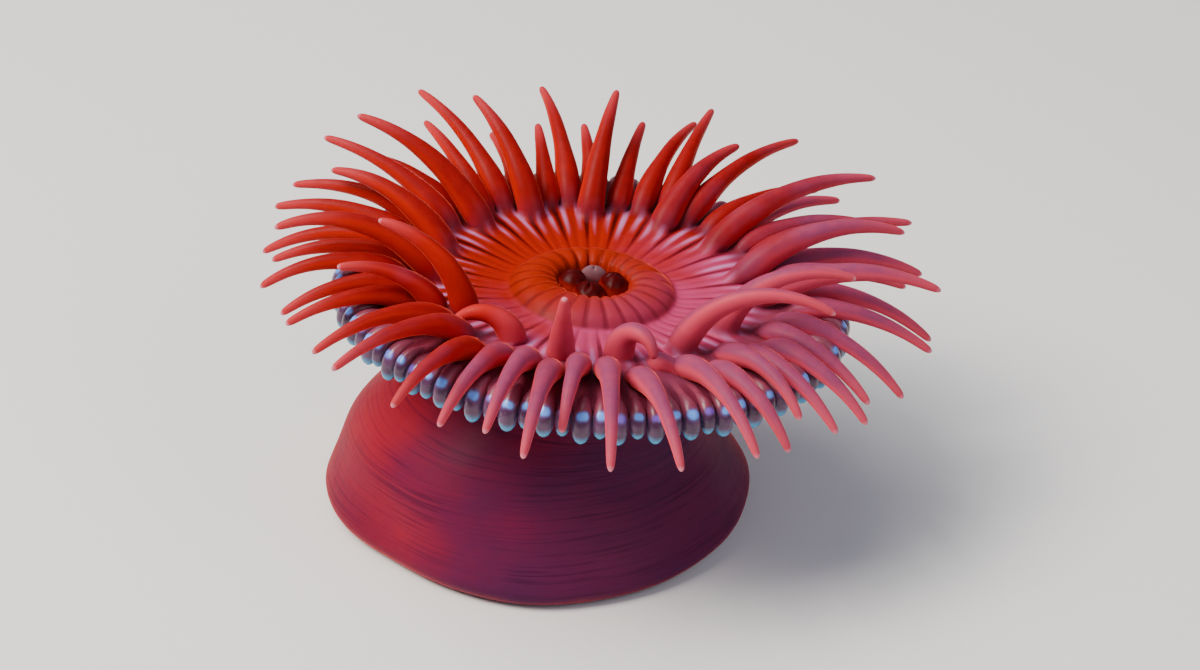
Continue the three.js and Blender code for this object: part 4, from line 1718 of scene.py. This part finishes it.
@dataclass(frozen=True)
class Lamp:
    """A soft square light that faces the animal. Its distance and size are in metres."""

    name: str
    azimuth: float
    elevation: float
    distance: float
    size: float
    power: float
    colour: tuple[float, float, float]


@dataclass
class Studio:
    """The plain floor, the soft light and the camera, in metres."""

    aim: tuple[float, float, float] = (0.0062, 0.0, 0.018)
    azimuth: float = -90.0
    elevation: float = 29.0
    distance: float = 0.295
    field_of_view: float = 22.0
    sensor_width: float = 36.0
    clip: tuple[float, float] = (0.01, 20.0)
    floor_size: float = 4.0
    surround: Colour = (0.74, 0.83, 1.0, 1.0)
    surround_strength: float = 0.3
    lamps: tuple[Lamp, ...] = (
        Lamp("key_light", -160.0, 50.0, 0.6, 0.28, 5.6, (1.0, 0.93, 0.85)),
        Lamp("top_light", 150.0, 68.0, 0.7, 0.4, 2.6, (1.0, 0.97, 0.94)),
        Lamp("fill_light", -40.0, 35.0, 0.8, 0.5, 1.7, (0.8, 0.86, 1.0)),
    )

    def build(self) -> None:
        """Makes the floor, the lights, the surrounding light and the camera."""
        half = self.floor_size / 2.0 / MM
        corners = half * np.array([(-1, -1, 0), (1, -1, 0), (1, 1, 0), (-1, 1, 0)])
        floor = Surface(corners, [np.array([[0, 1, 2, 3]])]).put_in("studio_floor")
        Backing().dress(floor)
        for lamp in self.lamps:
            self._light(lamp)
        world = bpy.data.worlds.new("soft_surround")
        world.use_nodes = True
        background = world.node_tree.nodes["Background"]
        background.inputs["Color"].default_value = self.surround
        background.inputs["Strength"].default_value = self.surround_strength
        bpy.context.scene.world = world
        self._camera()

    def _aimed(self, name: str, data: Any, azimuth: float, elevation: float, distance: float) -> Any:
        """Puts a light or a camera where it looks straight at the aim.

        Args:
            name: The object's name.
            data: The light or the camera.
            azimuth: Where it stands, seen from the aim.
            elevation: How high it stands, seen from the aim.
            distance: How far it is from the aim.

        Returns:
            The object.
        """
        holder = bpy.data.objects.new(name, data)
        outward, _ = level_axes(math.radians(azimuth))
        rise = math.radians(elevation)
        holder.location = self.aim + (outward * math.cos(rise) + UP * math.sin(rise)) * distance
        holder.rotation_euler = (math.radians(90.0 - elevation), 0.0, math.radians(azimuth + 90.0))
        bpy.context.scene.collection.objects.link(holder)
        return holder

    def _light(self, lamp: Lamp) -> None:
        """Adds one soft light.

        Args:
            lamp: Which one.
        """
        light = bpy.data.lights.new(lamp.name, "AREA")
        light.size = lamp.size
        light.energy = lamp.power
        light.color = lamp.colour
        self._aimed(lamp.name, light, lamp.azimuth, lamp.elevation, lamp.distance)

    def _camera(self) -> None:
        """Adds the camera."""
        camera = bpy.data.cameras.new("camera")
        camera.sensor_width = self.sensor_width
        camera.lens = self.sensor_width / 2.0 / math.tan(math.radians(self.field_of_view / 2.0))
        camera.clip_start, camera.clip_end = self.clip
        holder = self._aimed("camera", camera, self.azimuth, self.elevation, self.distance)
        bpy.context.scene.camera = holder


# ---------------------------------------------------------------- the animal


def main() -> None:
    """Builds the animal's pieces in order, then the studio, and reports each."""
    logging.basicConfig(level=logging.INFO, format="%(message)s")
    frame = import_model()
    stance = Stance()
    flesh = [name for name in frame["nodes"] if name != "throat"]
    pieces = [
        Skin(stance, Tentacles()).build(flesh),
        Beads(stance).build(),
        Throat(stance).build(),
    ]
    Studio().build()
    for piece in pieces:
        LOG.info("%s: %d faces", piece.name, len(piece.data.polygons))


if __name__ == "__main__":
    main()
